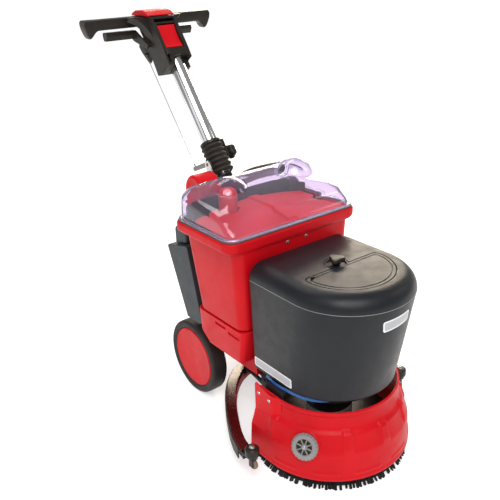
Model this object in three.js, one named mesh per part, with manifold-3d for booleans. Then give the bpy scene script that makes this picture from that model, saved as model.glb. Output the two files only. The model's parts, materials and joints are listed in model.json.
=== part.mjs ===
// Walk-behind wet and dry floor scrubber with a 400 mm disc brush.
// Millimetres, +Z up, front of the machine towards -Y, operator towards +Y, floor at Z = 0.

import * as THREE from 'three';
import { mergeVertices } from 'three/addons/utils/BufferGeometryUtils.js';
import { LoftGeometry } from 'three/addons/geometries/LoftGeometry.js';
import Module from 'manifold-3d';

// ---------------------------------------------------------------- driving dimensions

const GAP = 0.3;          // left between pieces that touch
const OVER = 5;           // how far a cutting tool runs past the face it cuts

const BRUSH = { y: -290, radius: 200, rootRadius: 174, bore: 95, bristles: 45, top: 62 };
const DRIVE = { hubRadius: 45, hubTop: 76, shaft: 9, gearboxRadius: 60, gearboxBottom: 80, motorBottom: 118,
  motorRadius: 62, motorTop: 203.7 };
const DECK = { bottom: 204, top: 214, radius: 140, armX: 163, armFront: -300, armRear: -235, rear: -100,
  padTop: 222.7 };
const SKIRT = { straight: 70, top: 200, wall: 4, wingX: 184, wingFront: -14, wingBottom: 141, wingTop: 216,
  wingFrontTop: 201, ribWidth: 26, ribLift: 4.5 };
// Skirt wall as [radius, z], from the rim bead up the outside and back down the inside.
const SKIRT_OUTSIDE = [[203, 29], [203.5, 34], [201.5, 40], [200, 70], [198, 102], [190, 122], [183, 146],
  [174, 156], [171, 168], [170, 188], [173, 191], [173, SKIRT.top]];
const SKIRT_INSIDE = [[165.5, SKIRT.top], [167, 167], [170, 155], [179, 145], [186, 121], [194, 101],
  [196, 69], [197.5, 39], [197.5, 29]];
const DIAL = { radius: 33, thick: 12, turn: 210, tilt: 20, reach: 194, z: 116, bossRadius: 36, wall: 4 };
const SOLUTION = { bottom: 223, bottomHalf: 152, bottomArcY: -302, seam: 470, half: 161, arcY: -340,
  rear: -178, edge: 38, wall: 5, roof: 10 };
const FILLER = { y: -337, rear: -323, radius: 115, corner: 14, lobeY: -308, lobeRadius: 29, thick: 5.2,
  ledge: 14, slit: 1.2 };
const KNOB = { lobe: 8.5, reach: 13, bottom: 505.3, top: 524 };
const FEED = { radius: 3.6 };
const TANK = { bottom: 313, rim: 563, flangeBottom: 535, wall: 5, ledge: 547 };
const LID = { bottom: 567.3, wall: 3, rise: 0.14, riseFrom: -130, riseBase: 573, riseSpan: 40 };
const DOMES = [
  { x: -84, y: 0, z: 604, radius: 60, height: 61 },
  { x: 139, y: 2, z: 608, radius: 55, height: 63 },
];
const BAFFLE = { half: 178, base: 563, rise: 20, thick: 4, front: -138, rear: 30, bandTop: 586.5, cells: 12 };
const SPLASH = { x: 183, rear: 59, front: -60, thick: 3, corner: 18, rearTop: 600, sideTop: 590 };
const INLET = { x: 150, z: 622, bore: 19, radius: 24, face: 73.5 };
const CHASSIS = { bottom: 216, top: 312.6, front: -141, rear: 45, tubHalf: 100, tubFront: -120, tubRear: 40,
  tubBottom: 146, floorRear: 140, floorTop: 236, arch: 160 };
const BATTERY = { halfX: 90, depth: 70, bottom: 151, top: 298 };
const WHEEL = { x: 130, y: 118, radius: 110, rim: 89, width: 48, axle: 8 };
const HOUSING = { half: 150, wall: 4, slotHalf: 44, slotRear: 128 };
const TOWER = { half: 40, wall: 6, front: 84, rear: 124, bottom: 236.3, top: 618 };
const PIVOT = { y: 117, z: 600, pin: 8, lean: 36.8 };
const TUBE = { radius: 22.5, wall: 2, from: 31, to: 400 };
const BELLOWS = { from: 32, to: 118, bottomRadius: 33, topRadius: 31, folds: 6, depth: 4 };
const CLAMP = { low: 119, high: 127, reach: 89, ring: 29.5, armX: 34, bossX: 39, bossHalf: 9, stud: 4,
  knobRadius: 20, lobes: 5, knobThick: 22 };
const RELEASE = { crankY: -14, crankZ: 62, eyeY: 61.3, eyeZ: 83.3, x: -35.6, wire: 1.2, ferrule: 2.2,
  ferruleLength: 10, pin: 3 };
const LEVER = { y: 24, z: 452, shaft: 5, pinY: 69.4, pinZ: 451.5, armX: 46, armThick: 6, reach: 140 };
const HEAD = { half: 40, wall: 5.5, rockerHalf: 28, rockerZ: 445, rockerLength: 70 };
const BAR = { front: 461, top: 1023, chamfer: 7 };
const SQUEEGEE = { apex: 36, bend: 0.0044, tipX: 259, tipY: -301, bottom: 48, top: 77.5, plate: 2.5,
  carrierWidth: 22, plateWidth: 26, bladeBottom: 46 };
const LINK = { pivotY: -86, pivotZ: 90, length: 90, raised: 12.8, drop: 28, x: 40, pin: 5 };
const ROLLER = { radius: 17.5, bottom: 83, top: 107 };
const CASTER = { radius: 14, width: 10, x: 256, y: -300, z: 56 };
const HOSE = { radius: 18, bore: 15, nozzle: 12, nozzleY: 60, bottom: 118 };
const BARREL = { left: -112, right: -50, radius: 43, wall: 3 };

const COLOURS = {
  red: [0xc8202c, 0.42, 0],
  charcoal: [0x3c3f43, 0.5, 0],
  slate: [0x49525a, 0.5, 0],
  black: [0x17171a, 0.55, 0],
  rubber: [0x26241f, 0.8, 0],
  bristle: [0x0e0e10, 0.9, 0],
  steel: [0xb9bcc0, 0.3, 0.9],
  chrome: [0xd8dadd, 0.12, 1],
  grey: [0x8b8d8f, 0.5, 0.3],
  gasket: [0x6d7068, 0.8, 0],
  clear: [0xd9d6ea, 0.08, 0],
  blue: [0x2c6fb0, 0.35, 0],
  brown: [0x7b5a44, 0.6, 0],
};

// ---------------------------------------------------------------- shape helpers

const wasm = await Module();
wasm.setup();

const radians = THREE.MathUtils.degToRad;

// Triangle indices of a merged geometry, without slivers and with the faces pointing out.
function outwardTriangles(position, index) {
  const triangles = [];
  const corner = [0, 1, 2].map(() => new THREE.Vector3());
  let volume = 0;
  for (let i = 0; i < index.length; i += 3) {
    const ids = [index[i], index[i + 1], index[i + 2]];
    if (new Set(ids).size < 3) continue;
    ids.forEach((id, k) => corner[k].fromBufferAttribute(position, id));
    volume += corner[0].dot(corner[1].clone().cross(corner[2]));
    triangles.push(ids);
  }
  if (volume < 0) triangles.forEach((ids) => ids.reverse());
  return new Uint32Array(triangles.flat());
}

function solid(geometry) {
  const bare = new THREE.BufferGeometry();
  bare.setAttribute('position', geometry.attributes.position);
  bare.setIndex(geometry.index);
  const merged = mergeVertices(bare, 1e-4);
  const triVerts = outwardTriangles(merged.attributes.position, merged.index.array);
  const vertProperties = new Float32Array(merged.attributes.position.array);
  return new wasm.Manifold(new wasm.Mesh({ numProp: 3, vertProperties, triVerts }));
}

function join(first, ...others) {
  return others.reduce((sum, other) => sum.add(other), first);
}

function cut(first, ...tools) {
  return tools.reduce((rest, tool) => rest.subtract(tool), first);
}

function geometryOf(shape) {
  const mesh = shape.getMesh();
  const geometry = new THREE.BufferGeometry();
  geometry.setAttribute('position', new THREE.BufferAttribute(mesh.vertProperties, 3));
  geometry.setIndex(new THREE.BufferAttribute(mesh.triVerts, 1));
  geometry.computeVertexNormals();
  return geometry;
}

function part(name, shape, colour, position = [0, 0, 0]) {
  const [color, roughness, metalness] = COLOURS[colour];
  const material = new THREE.MeshStandardMaterial({ color, roughness, metalness });
  const mesh = new THREE.Mesh(geometryOf(shape), material);
  mesh.name = name;
  mesh.position.set(...position);
  return mesh;
}

function group(position, ...children) {
  const node = new THREE.Group();
  node.position.set(...position);
  if (children.length) node.add(...children);
  return node;
}

function box([x0, x1], [y0, y1], [z0, z1]) {
  const geometry = new THREE.BoxGeometry(x1 - x0, y1 - y0, z1 - z0);
  return solid(geometry.translate((x0 + x1) / 2, (y0 + y1) / 2, (z0 + z1) / 2));
}

// Solid of revolution about Z from a closed profile of [radius, z] points.
function turned(profile, segments = 20) {
  const points = [...profile, profile[0]].map(([r, z]) => new THREE.Vector2(r, z));
  return solid(new THREE.LatheGeometry(points, segments).rotateX(Math.PI / 2));
}

// Turned solid whose axis of revolution lies along X, its profile heights along +X.
function turnedAlongX(profile, segments = 20) {
  const points = [...profile, profile[0]].map(([r, z]) => new THREE.Vector2(r, z));
  const geometry = new THREE.LatheGeometry(points, segments).rotateX(Math.PI / 2);
  return solid(geometry.rotateY(Math.PI / 2));
}

// Round rod between two points.
function rod(radius, from, to, segments = 10) {
  const start = new THREE.Vector3(...from);
  const along = new THREE.Vector3(...to).sub(start);
  const geometry = new THREE.CylinderGeometry(radius, radius, along.length(), segments);
  geometry.translate(0, along.length() / 2, 0);
  const turn = new THREE.Quaternion().setFromUnitVectors(new THREE.Vector3(0, 1, 0), along.normalize());
  return solid(geometry.applyQuaternion(turn).translate(start.x, start.y, start.z));
}

function shapeOf(points) {
  return new THREE.Shape(points.map(([a, b]) => new THREE.Vector2(a, b)));
}

// Outline in XY, pulled up from z0 to z1.
function plan(shape, z0, z1, curveSegments = 8) {
  const geometry = new THREE.ExtrudeGeometry(shape, { depth: z1 - z0, bevelEnabled: false, curveSegments });
  return solid(geometry.translate(0, 0, z0));
}

const AXES = {
  x: [new THREE.Vector3(0, 1, 0), new THREE.Vector3(0, 0, 1), new THREE.Vector3(1, 0, 0)],
  y: [new THREE.Vector3(0, 0, 1), new THREE.Vector3(1, 0, 0), new THREE.Vector3(0, 1, 0)],
};

// Outline in (Y, Z) pulled along X, or in (Z, X) pulled along Y.
function pulled(axis, shape, from, to, curveSegments = 12) {
  const geometry = new THREE.ExtrudeGeometry(shape, { depth: to - from, bevelEnabled: false, curveSegments });
  geometry.translate(0, 0, from);
  return solid(geometry.applyMatrix4(new THREE.Matrix4().makeBasis(...AXES[axis])));
}

function side(points, x0, x1) {
  return pulled('x', shapeOf(points), x0, x1);
}

function lofted(sections) {
  return solid(new LoftGeometry(sections, { capStart: true, capEnd: true }));
}

// Rounded rectangle at height z, counterclockwise from above.
function roundedSection(halfX, y0, y1, radius, z, steps = 3) {
  const corners = [
    [halfX - radius, y1 - radius, 0],
    [radius - halfX, y1 - radius, 90],
    [radius - halfX, y0 + radius, 180],
    [halfX - radius, y0 + radius, 270],
  ];
  return corners.flatMap(([cx, cy, start]) => Array.from({ length: steps + 1 }, (_, i) => {
    const angle = radians(start + (90 * i) / steps);
    return new THREE.Vector3(cx + radius * Math.cos(angle), cy + radius * Math.sin(angle), z);
  }));
}

// ---------------------------------------------------------------- brush and its drive

function brushGroup() {
  const bristles = turned([[BRUSH.bore, 0], [BRUSH.radius, 0], [BRUSH.rootRadius, BRUSH.bristles],
    [BRUSH.bore, BRUSH.bristles]], 36);
  const block = turned([[0, BRUSH.bristles + GAP], [BRUSH.rootRadius - 3, BRUSH.bristles + GAP],
    [BRUSH.rootRadius, 49], [BRUSH.rootRadius - 4, BRUSH.top], [0, BRUSH.top]], 32);
  const hub = turned([[0, BRUSH.top + GAP], [DRIVE.hubRadius, BRUSH.top + GAP], [DRIVE.hubRadius, 70],
    [14, DRIVE.hubTop], [DRIVE.shaft, DRIVE.hubTop], [DRIVE.shaft, 100], [0, 100]], 16);
  return group([0, BRUSH.y, 0],
    part('brush_bristles', bristles, 'bristle'),
    part('brush_block', block, 'black'),
    part('brush_hub', hub, 'steel'));
}

function brushDrive() {
  const bore = DRIVE.shaft + 1;
  const gearbox = turned([[bore, DRIVE.gearboxBottom], [DRIVE.gearboxRadius, DRIVE.gearboxBottom],
    [DRIVE.gearboxRadius, DRIVE.motorBottom - GAP], [0, DRIVE.motorBottom - GAP], [0, 103], [bore, 103]], 20);
  const motor = turned([[0, DRIVE.motorBottom], [DRIVE.motorRadius - 4, DRIVE.motorBottom],
    [DRIVE.motorRadius, 124], [DRIVE.motorRadius, DRIVE.motorTop], [0, DRIVE.motorTop]], 20);
  return group([0, BRUSH.y, 0], part('gearbox', gearbox, 'grey'), part('brush_motor', motor, 'black'));
}

function deckFrame() {
  const disc = rod(DECK.radius, [0, BRUSH.y, DECK.bottom], [0, BRUSH.y, DECK.top], 28);
  const tongue = box([-90, 90], [BRUSH.y, DECK.rear], [DECK.bottom, DECK.top]);
  const arms = box([-DECK.armX + 1, DECK.armX - 1], [DECK.armFront, DECK.armRear], [DECK.bottom, DECK.top]);
  const tabs = [-1, 1].map((s) => box([s * DECK.armX - (s > 0 ? 5 : 0), s * DECK.armX + (s > 0 ? 0 : 5)],
    [DECK.armFront, DECK.armRear], [182, DECK.top]));
  const pads = [[-60, -240], [60, -240], [-50, -350], [50, -350]].map(([x, y]) => (
    box([x - 14, x + 14], [y - 14, y + 14], [DECK.top - 1, DECK.padTop])));
  const clear = box([-101, 101], [CHASSIS.tubFront - GAP, DECK.rear + OVER], [DECK.bottom - 1, DECK.top + 1]);
  return part('deck_frame', cut(join(disc, tongue, arms, ...tabs, ...pads), clear), 'black');
}

// Half-round front of the skirt and its two straight sides, from one [radius, z] outline.
function skirtSweep(profile, overRun) {
  const front = cut(turned(profile, 36), box([-300, 300], [0, 300], [0, 300]));
  const sides = [1, -1].map((s) => {
    const outline = shapeOf(profile.map(([r, z]) => [z, s * r]));
    return pulled('y', outline, -1, SKIRT.straight + overRun);
  });
  return join(front, ...sides);
}

function skirtRib(turn) {
  const lift = SKIRT.ribLift;
  const profile = [[168, 158], [176 + lift, 156], [184 + lift, 144], [191 + lift, 122], [200, 104], [199, 92],
    [190, 92], [184, 120], [172, 146]];
  const half = SKIRT.ribWidth / 2;
  const geometry = new THREE.ExtrudeGeometry(shapeOf(profile), { depth: SKIRT.ribWidth - 8,
    bevelSize: 3, bevelThickness: 4, bevelSegments: 1, bevelOffset: -3 });
  geometry.translate(0, 0, 4 - half).rotateX(Math.PI / 2).rotateZ(radians(turn));
  return solid(geometry);
}

// Raised plate behind each end of the skirt's round front.
function skirtWing(s) {
  const { straight, wall, wingX, wingFront, wingBottom, wingTop, wingFrontTop } = SKIRT;
  const bend = wingX - wall;
  const outline = [[168, wingFront], [172, wingFront], [wingX, 8], [wingX, straight], [bend, straight],
    [bend, 10], [168, wingFront + wall]];
  const plate = plan(shapeOf(outline.map(([x, y]) => [s * x, y])), wingBottom, wingTop);
  return plate.intersect(side([[wingFront - 1, wingBottom], [straight, wingBottom], [straight, wingTop - 4],
    [straight - 4, wingTop], [20, 206], [wingFront - 1, wingFrontTop]], -200, 200));
}

function dialAxis() {
  const turn = radians(DIAL.turn);
  const tilt = radians(DIAL.tilt);
  return new THREE.Vector3(Math.cos(turn) * Math.cos(tilt), Math.sin(turn) * Math.cos(tilt), Math.sin(tilt));
}

function dialPlace() {
  const turn = radians(DIAL.turn);
  return new THREE.Vector3(Math.cos(turn) * DIAL.reach, Math.sin(turn) * DIAL.reach, DIAL.z);
}

function brushSkirt() {
  const wall = skirtSweep([...SKIRT_OUTSIDE, ...SKIRT_INSIDE], 0);
  const room = skirtSweep([[0, SKIRT.top + OVER], [SKIRT_INSIDE[0][0], SKIRT.top + OVER], ...SKIRT_INSIDE,
    [SKIRT_INSIDE.at(-1)[0], 0], [0, 0]], OVER);
  const ribs = [-180, -150, -120, -90, -60, -30, 0].filter((turn) => turn + 360 !== DIAL.turn);
  const axis = dialAxis();
  const face = dialPlace();
  const root = face.clone().addScaledVector(axis, -26);
  const boss = rod(DIAL.bossRadius, root.toArray(), face.toArray(), 20);
  const hollow = rod(DIAL.bossRadius - DIAL.wall, root.clone().addScaledVector(axis, -OVER).toArray(),
    face.clone().addScaledVector(axis, -DIAL.wall).toArray(), 16);
  const shell = join(wall, skirtWing(1), skirtWing(-1), ...ribs.map(skirtRib), boss);
  return part('brush_skirt', cut(shell, room, hollow), 'red', [0, BRUSH.y, 0]);
}

function skirtDial() {
  const body = turned([[0, GAP], [DIAL.radius, GAP], [DIAL.radius, 5], [DIAL.radius - 3, DIAL.thick],
    [20, DIAL.thick], [18, 7], [9, 7], [8, 11], [0, 11]], 20);
  const mesh = part('skirt_dial', body, 'grey');
  mesh.position.copy(dialPlace()).add(new THREE.Vector3(0, BRUSH.y, 0));
  mesh.quaternion.setFromUnitVectors(new THREE.Vector3(0, 0, 1), dialAxis());
  return mesh;
}

// ---------------------------------------------------------------- solution tank

// Outline with straight sides, a flat rear and a half-round front.
function tankSection(half, arcY, rear, z) {
  const steps = 16;
  const arc = Array.from({ length: steps + 1 }, (_, i) => {
    const angle = Math.PI * (1 + i / steps);
    return new THREE.Vector3(half * Math.cos(angle), arcY + half * Math.sin(angle), z);
  });
  return [new THREE.Vector3(half, rear, z), new THREE.Vector3(-half, rear, z), ...arc];
}

function solutionBody(inset, roof) {
  const s = SOLUTION;
  const edge = s.edge - inset;
  const rear = s.rear - inset;
  const sections = [
    tankSection(s.bottomHalf - 6 - inset, s.bottomArcY, rear, s.bottom + inset),
    tankSection(s.bottomHalf - inset, s.bottomArcY, rear, s.bottom + inset + 6),
    tankSection(s.half - inset, s.arcY, rear, s.seam),
  ];
  for (let i = 1; i <= 4; i += 1) {
    const angle = (Math.PI / 8) * i;
    const half = s.half - inset - edge * (1 - Math.cos(angle));
    sections.push(tankSection(half, s.arcY, rear, s.seam + (edge - roof) * Math.sin(angle)));
  }
  return lofted(sections);
}

function halfMoon(grow) {
  const f = FILLER;
  const radius = f.radius + grow;
  const rear = f.rear + grow;
  const start = radians(-6);
  const tip = radius - f.corner;
  const shape = new THREE.Shape();
  shape.moveTo(-tip, rear);
  shape.lineTo(tip, rear);
  shape.quadraticCurveTo(radius + 2, rear, radius * Math.cos(start), f.y + radius * Math.sin(start));
  shape.absarc(0, f.y, radius, start, Math.PI - start, true);
  shape.quadraticCurveTo(-radius - 2, rear, -tip, rear);
  return shape;
}

function fillerOutline(grow, z0, z1) {
  const lobe = rod(FILLER.lobeRadius + grow, [0, FILLER.lobeY, z0], [0, FILLER.lobeY, z1], 20);
  return join(plan(halfMoon(grow), z0, z1), lobe);
}

function solutionTank() {
  const top = SOLUTION.seam + SOLUTION.edge;
  const ledge = top - FILLER.thick - GAP;
  const shell = cut(solutionBody(0, 0), solutionBody(SOLUTION.wall, SOLUTION.roof - SOLUTION.wall));
  const pocket = fillerOutline(FILLER.slit, ledge, top + OVER);
  const mouth = plan(halfMoon(-FILLER.ledge), ledge - 20, top);
  return part('solution_tank', cut(shell, pocket, mouth), 'charcoal');
}

function fillerLid() {
  const top = SOLUTION.seam + SOLUTION.edge;
  const plate = fillerOutline(0, top - FILLER.thick, top);
  const dish = rod(FILLER.lobeRadius - 3, [0, FILLER.lobeY, KNOB.bottom - GAP],
    [0, FILLER.lobeY, top + OVER], 20);
  return part('filler_lid', cut(plate, dish), 'charcoal');
}

function fillerKnob() {
  const lobes = [90, 210, 330].map((turn) => {
    const x = KNOB.reach * Math.cos(radians(turn));
    const y = KNOB.reach * Math.sin(radians(turn));
    return rod(KNOB.lobe, [x, y, 6], [x, y, KNOB.top - KNOB.bottom]);
  });
  const hub = rod(9, [0, 0, 0], [0, 0, KNOB.top - KNOB.bottom - 2]);
  return part('filler_knob', join(hub, ...lobes), 'black', [0, FILLER.lobeY, KNOB.bottom]);
}

// Feed line in the slot between the deck and the tank.
function solutionHose() {
  const route = [[-150, -222], [-155, -262], [-152, -300], [-143, -346], [-122, -382], [-92, -400],
    [-60, -392]];
  const height = DECK.top + FEED.radius + 1;
  const curve = new THREE.CatmullRomCurve3(route.map(([x, y]) => new THREE.Vector3(x, y, height)));
  return part('solution_hose', swept(curve, FEED.radius, 14, 8), 'blue');
}

// Round section carried along a curve.
function swept(curve, radius, steps, sides) {
  const section = new THREE.Shape();
  section.absarc(0, 0, radius, 0, Math.PI * 2);
  const outline = new THREE.Shape(section.getPoints(sides).slice(0, sides));
  return solid(new THREE.ExtrudeGeometry(outline, { steps, extrudePath: curve, bevelEnabled: false }));
}

// ---------------------------------------------------------------- recovery tank

function recoveryTank() {
  const t = TANK;
  const outer = lofted([
    roundedSection(165, -154, 27, 20, t.bottom),
    roundedSection(171, -160, 31, 26, t.bottom + 6),
    roundedSection(184, -168, 60, 28, t.flangeBottom + 1),
  ]);
  const flange = lofted([
    roundedSection(203, -171, 73, 32, t.flangeBottom),
    roundedSection(209, -173, 75, 34, t.flangeBottom + 5),
    roundedSection(209, -173, 75, 34, t.rim - 3),
    roundedSection(207, -172, 74, 33, t.rim),
  ]);
  const inner = lofted([
    roundedSection(165, -154, 26, 20, t.bottom + t.wall),
    roundedSection(179, -163, 55, 22, t.ledge),
  ]);
  const mouth = lofted([
    roundedSection(190, -163, 62, 24, t.ledge - 0.5),
    roundedSection(190, -163, 62, 24, t.rim + OVER),
  ]);
  return part('recovery_tank', cut(join(outer, flange), inner, mouth), 'red');
}

function tankGasket() {
  const top = LID.bottom - GAP;
  const ring = lofted([TANK.rim + GAP, top].map((z) => roundedSection(204, -169, 71, 30, z)));
  const hole = lofted([TANK.rim - 1, top + OVER].map((z) => roundedSection(193, -160, 60, 24, z)));
  return part('tank_gasket', cut(ring, hole), 'gasket');
}

// Arched red panel over the tank mouth, with a raised band down its middle.
function tankBaffle() {
  const { half, base, rise, thick, front, rear, bandTop, cells } = BAFFLE;
  const arch = (x) => base + rise * Math.cos((x / half) * (Math.PI / 2));
  const steps = Array.from({ length: cells + 1 }, (_, i) => -half + (2 * half * i) / cells);
  const upper = steps.map((x) => [arch(x), x]);
  const lower = steps.map((x) => [arch(x) - thick, x]).reverse();
  const sheet = pulled('y', shapeOf([...upper, ...lower]), front, rear);
  const band = box([0, 30], [front, rear], [base + rise - 9, bandTop]);
  const { x: filterX, y: filterY } = DOMES[0];
  const notch = rod(29, [filterX, filterY, base - 60], [filterX, filterY, base + 100], 16);
  const legs = [2 - half, half - 2].map((x) => box([x - 3, x + 3], [-120, 10], [TANK.ledge + GAP, base]));
  return part('tank_baffle', cut(join(sheet, band, ...legs), notch), 'red');
}

// Upright wall on the tank's ledge, round the rear and both sides of the mouth.
function splashWall() {
  const { x, rear, front, thick, rearTop, sideTop, corner } = SPLASH;
  const arc = (inset) => {
    const right = [[x - inset, front], [x - inset, rear - corner], [x - corner - inset / 2, rear - inset]];
    return [...right, ...right.map(([px, y]) => [-px, y]).reverse()];
  };
  const base = TANK.ledge + GAP;
  const wall = plan(shapeOf([...arc(0), ...arc(thick).reverse()]), base, rearTop);
  return part('splash_wall', wall.intersect(side([[front, base], [front, sideTop], [rear - 28, sideTop],
    [rear - 14, rearTop], [rear, rearTop], [rear, base]], -x - 1, x + 1)), 'black');
}

function floatFilter() {
  const profile = [[0, 500], [18, 500], [24, 510], [24, 622], [18, 634], [0, 634]];
  return part('float_filter', turned(profile, 16), 'red', [DOMES[0].x, DOMES[0].y, 0]);
}

function lidSection(halfX, y0, y1, radius, z, inset) {
  const section = roundedSection(halfX - inset, y0 + inset, y1 - inset, radius, z);
  const climb = Math.max(0, (z - LID.riseBase) / LID.riseSpan) * LID.rise;
  section.forEach((p) => {
    p.z += climb * (p.y - LID.riseFrom);
  });
  return section;
}

function lidBody(inset) {
  return lofted([
    lidSection(196, -163, 66, 26, LID.bottom - (inset ? OVER : 0), inset),
    lidSection(195, -160, 66, 26, 578, inset),
    lidSection(193.5, -138, 65.5, 26, 598 - inset / 2, inset),
    lidSection(190, -130, 64, 25, 606 - inset, inset),
    lidSection(182, -118, 60, 22, 612 - inset, inset),
    lidSection(150, -92, 52, 20, 618 - inset, inset),
    lidSection(80, -50, 40, 16, 621 - inset, inset),
  ]);
}

function dome({ x, y, z, radius, height }, inset) {
  const ball = new THREE.SphereGeometry(1, 16, 10).rotateX(Math.PI / 2);
  return solid(ball.scale(radius - inset, radius - inset, height - inset).translate(x, y, z));
}

function clearLid() {
  const rim = lofted([
    roundedSection(203, -168, 70, 30, LID.bottom),
    roundedSection(203, -168, 70, 30, LID.bottom + 4),
  ]);
  const boss = rod(INLET.radius, [INLET.x, 40, INLET.z], [INLET.x, INLET.face - 1, INLET.z], 16);
  const outer = join(lidBody(0), rim, boss, ...DOMES.map((d) => dome(d, 0)));
  const inner = join(lidBody(LID.wall), ...DOMES.map((d) => dome(d, LID.wall)));
  const bore = rod(INLET.bore, [INLET.x, 20, INLET.z], [INLET.x, INLET.face + OVER, INLET.z], 16);
  const below = box([-300, 300], [-300, 300], [500, LID.bottom]);
  return part('clear_lid', cut(outer, inner, bore, below), 'clear');
}

// ---------------------------------------------------------------- chassis and batteries

function chassisShell() {
  const c = CHASSIS;
  const upper = lofted([
    roundedSection(163, c.front + 2, c.rear, 14, c.bottom),
    roundedSection(165, c.front, c.rear, 16, c.bottom + 4),
    roundedSection(171.5, -160.5, c.rear, 22, c.top),
  ]);
  const tub = box([-c.tubHalf, c.tubHalf], [c.tubFront, c.tubRear], [c.tubBottom, c.bottom + 1]);
  const floor = box([-c.tubHalf, c.tubHalf], [0, c.floorRear], [c.bottom, c.floorTop]);
  const arches = [-1, 1].map((s) => rod(c.arch, [s * (c.tubHalf + 4), WHEEL.y, WHEEL.radius],
    [s * 200, WHEEL.y, WHEEL.radius], 48));
  const bay = box([-94, 94], [c.tubFront + 6, c.tubRear - 6], [BATTERY.bottom - GAP, c.top + OVER]);
  const pockets = [-1, 1].map((s) => box([s * 130 - 26, s * 130 + 26], [-134, -66], [224, c.top + OVER]));
  const hosePass = box([-22, 22], [c.tubRear + 2, 122], [c.bottom - OVER, c.floorTop + OVER + 80]);
  const recesses = [-1, 1].flatMap((s) => [[-118, 292], [-62, 300]].map(([y, z]) => (
    box([s * 172 - 6, s * 172 + 6], [y - 22, y + 22], [z - 5, z + 3]))));
  const body = join(upper, tub, floor);
  return part('chassis_shell', cut(body, ...arches, bay, ...pockets, hosePass, ...recesses), 'red');
}

function battery(name, y) {
  const b = BATTERY;
  const body = box([-b.halfX, b.halfX], [y, y + b.depth], [b.bottom, b.top]);
  const posts = [-70, 70].map((x) => rod(6, [x, y + 35, b.top - 1], [x, y + 35, b.top + 9], 12));
  return part(name, join(body, ...posts), 'black');
}

// ---------------------------------------------------------------- wheels

function wheel(name, s) {
  const half = WHEEL.width / 2;
  const [R, r] = [WHEEL.radius, WHEEL.rim];
  const tyre = turnedAlongX([[r, -half + 4], [r + 6, -half], [R - 4, -half], [R - 0.5, -half + 5], [R, 0],
    [R - 0.5, half - 5], [R - 4, half], [r + 6, half], [r, half - 4]], 30);
  const bore = WHEEL.axle + 0.4;
  const edge = r - 0.8;
  const disc = turnedAlongX([[0, half - 6.5], [30, half - 5], [edge - 4, half - 2], [edge, half - 4],
    [edge, -half + 4], [edge - 6, -half + 4], [edge - 6, 4], [22, 4], [22, -half], [bore, -half],
    [bore, half - 12], [0, half - 12]], 24);
  const node = group([s * WHEEL.x, WHEEL.y, WHEEL.radius],
    part(`tyre_${name}`, tyre, 'rubber'),
    part(`wheel_disc_${name}`, disc, 'red'));
  if (s < 0) node.rotation.z = Math.PI;
  return node;
}

function axle() {
  const reach = WHEEL.x + WHEEL.width / 2 - 12.5;
  return part('axle', rod(WHEEL.axle, [-reach, 0, 0], [reach, 0, 0], 16), 'steel', [0, WHEEL.y, WHEEL.radius]);
}

function axleBracket() {
  const cheeks = [-1, 1].map((s) => box([s * 99 - 3, s * 99 + 3], [85, 150], [94, 215.7]));
  const bridge = box([-100, 100], [124, 150], [207, 215.7]);
  const bore = rod(WHEEL.axle + GAP, [-110, WHEEL.y, WHEEL.radius], [110, WHEEL.y, WHEEL.radius], 16);
  return part('axle_bracket', cut(join(bridge, ...cheeks), bore), 'black');
}

// ---------------------------------------------------------------- rear housing

function rearHousing() {
  const h = HOUSING;
  const outline = [[58, 246], [72, 238], [132, 238], [211, 430], [208, 436], [114, 458], [108, 454]];
  const inner = [[66, 230], [128, 230], [205, 428], [118, 449], [111, 446], [64, 262]];
  const outer = cut(side(outline, -h.half, h.half), box([-h.slotHalf, h.slotHalf], [0, h.slotRear], [200, 500]));
  const reach = h.slotHalf + h.wall;
  const core = cut(side(inner, -h.half + h.wall, h.half - h.wall),
    box([-reach, reach], [0, h.slotRear + h.wall], [200, 500]));
  return part('rear_housing', cut(outer, core), 'slate');
}

function controlBox() {
  const outline = [[130, 455.5], [187, 442.4], [187, 488], [180, 497], [140, 503], [130, 500]];
  return part('control_box', side(outline, -138, 138), 'slate');
}

function chargerUnit() {
  return part('charger_unit', box([-145.6, -64], [106, 136], [290, 400]), 'grey');
}

// ---------------------------------------------------------------- column tower and vacuum

function columnTower() {
  const t = TOWER;
  const post = box([-t.half, t.half], [t.front, t.rear], [t.bottom, t.top]);
  const channel = box([-t.half + t.wall, t.half - t.wall], [t.front + t.wall, t.rear + OVER], [0, 700]);
  const mouth = box([-26, 26], [t.front - OVER, t.front + 10], [0, 330]);
  const headroom = box([-t.half + t.wall, t.half - t.wall], [0, 300], [560, 700]);
  const bore = rod(PIVOT.pin + GAP, [-60, PIVOT.y, PIVOT.z], [60, PIVOT.y, PIVOT.z], 16);
  return part('column_tower', cut(post, channel, mouth, headroom, bore), 'black');
}

function vacuumHousing() {
  const b = BARREL;
  const inner = b.radius - b.wall;
  const cup = turnedAlongX([[0, b.left + 4], [28, b.left + 2], [b.radius - 6, b.left], [b.radius, b.left + 6],
    [b.radius, b.right], [inner, b.right], [inner, b.left + 10], [0, b.left + 10]], 24);
  return part('vacuum_housing', cup, 'red', [0, PIVOT.y, PIVOT.z + 4]);
}

function vacuumTurbine() {
  const hub = turnedAlongX([[0, -98], [36, -98], [36, -92], [12, -88], [12, -66], [0, -66]], 16);
  const vanes = Array.from({ length: 6 }, (_, i) => {
    const geometry = new THREE.BoxGeometry(14, 3, 24).translate(-86, 0, 23);
    return solid(geometry.rotateX((i * Math.PI) / 3));
  });
  return part('vacuum_turbine', join(hub, ...vanes), 'grey', [0, PIVOT.y, PIVOT.z + 4]);
}

// ---------------------------------------------------------------- column

// The next functions work in the column's frame: Z up the tube, Y towards the underside.

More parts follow.
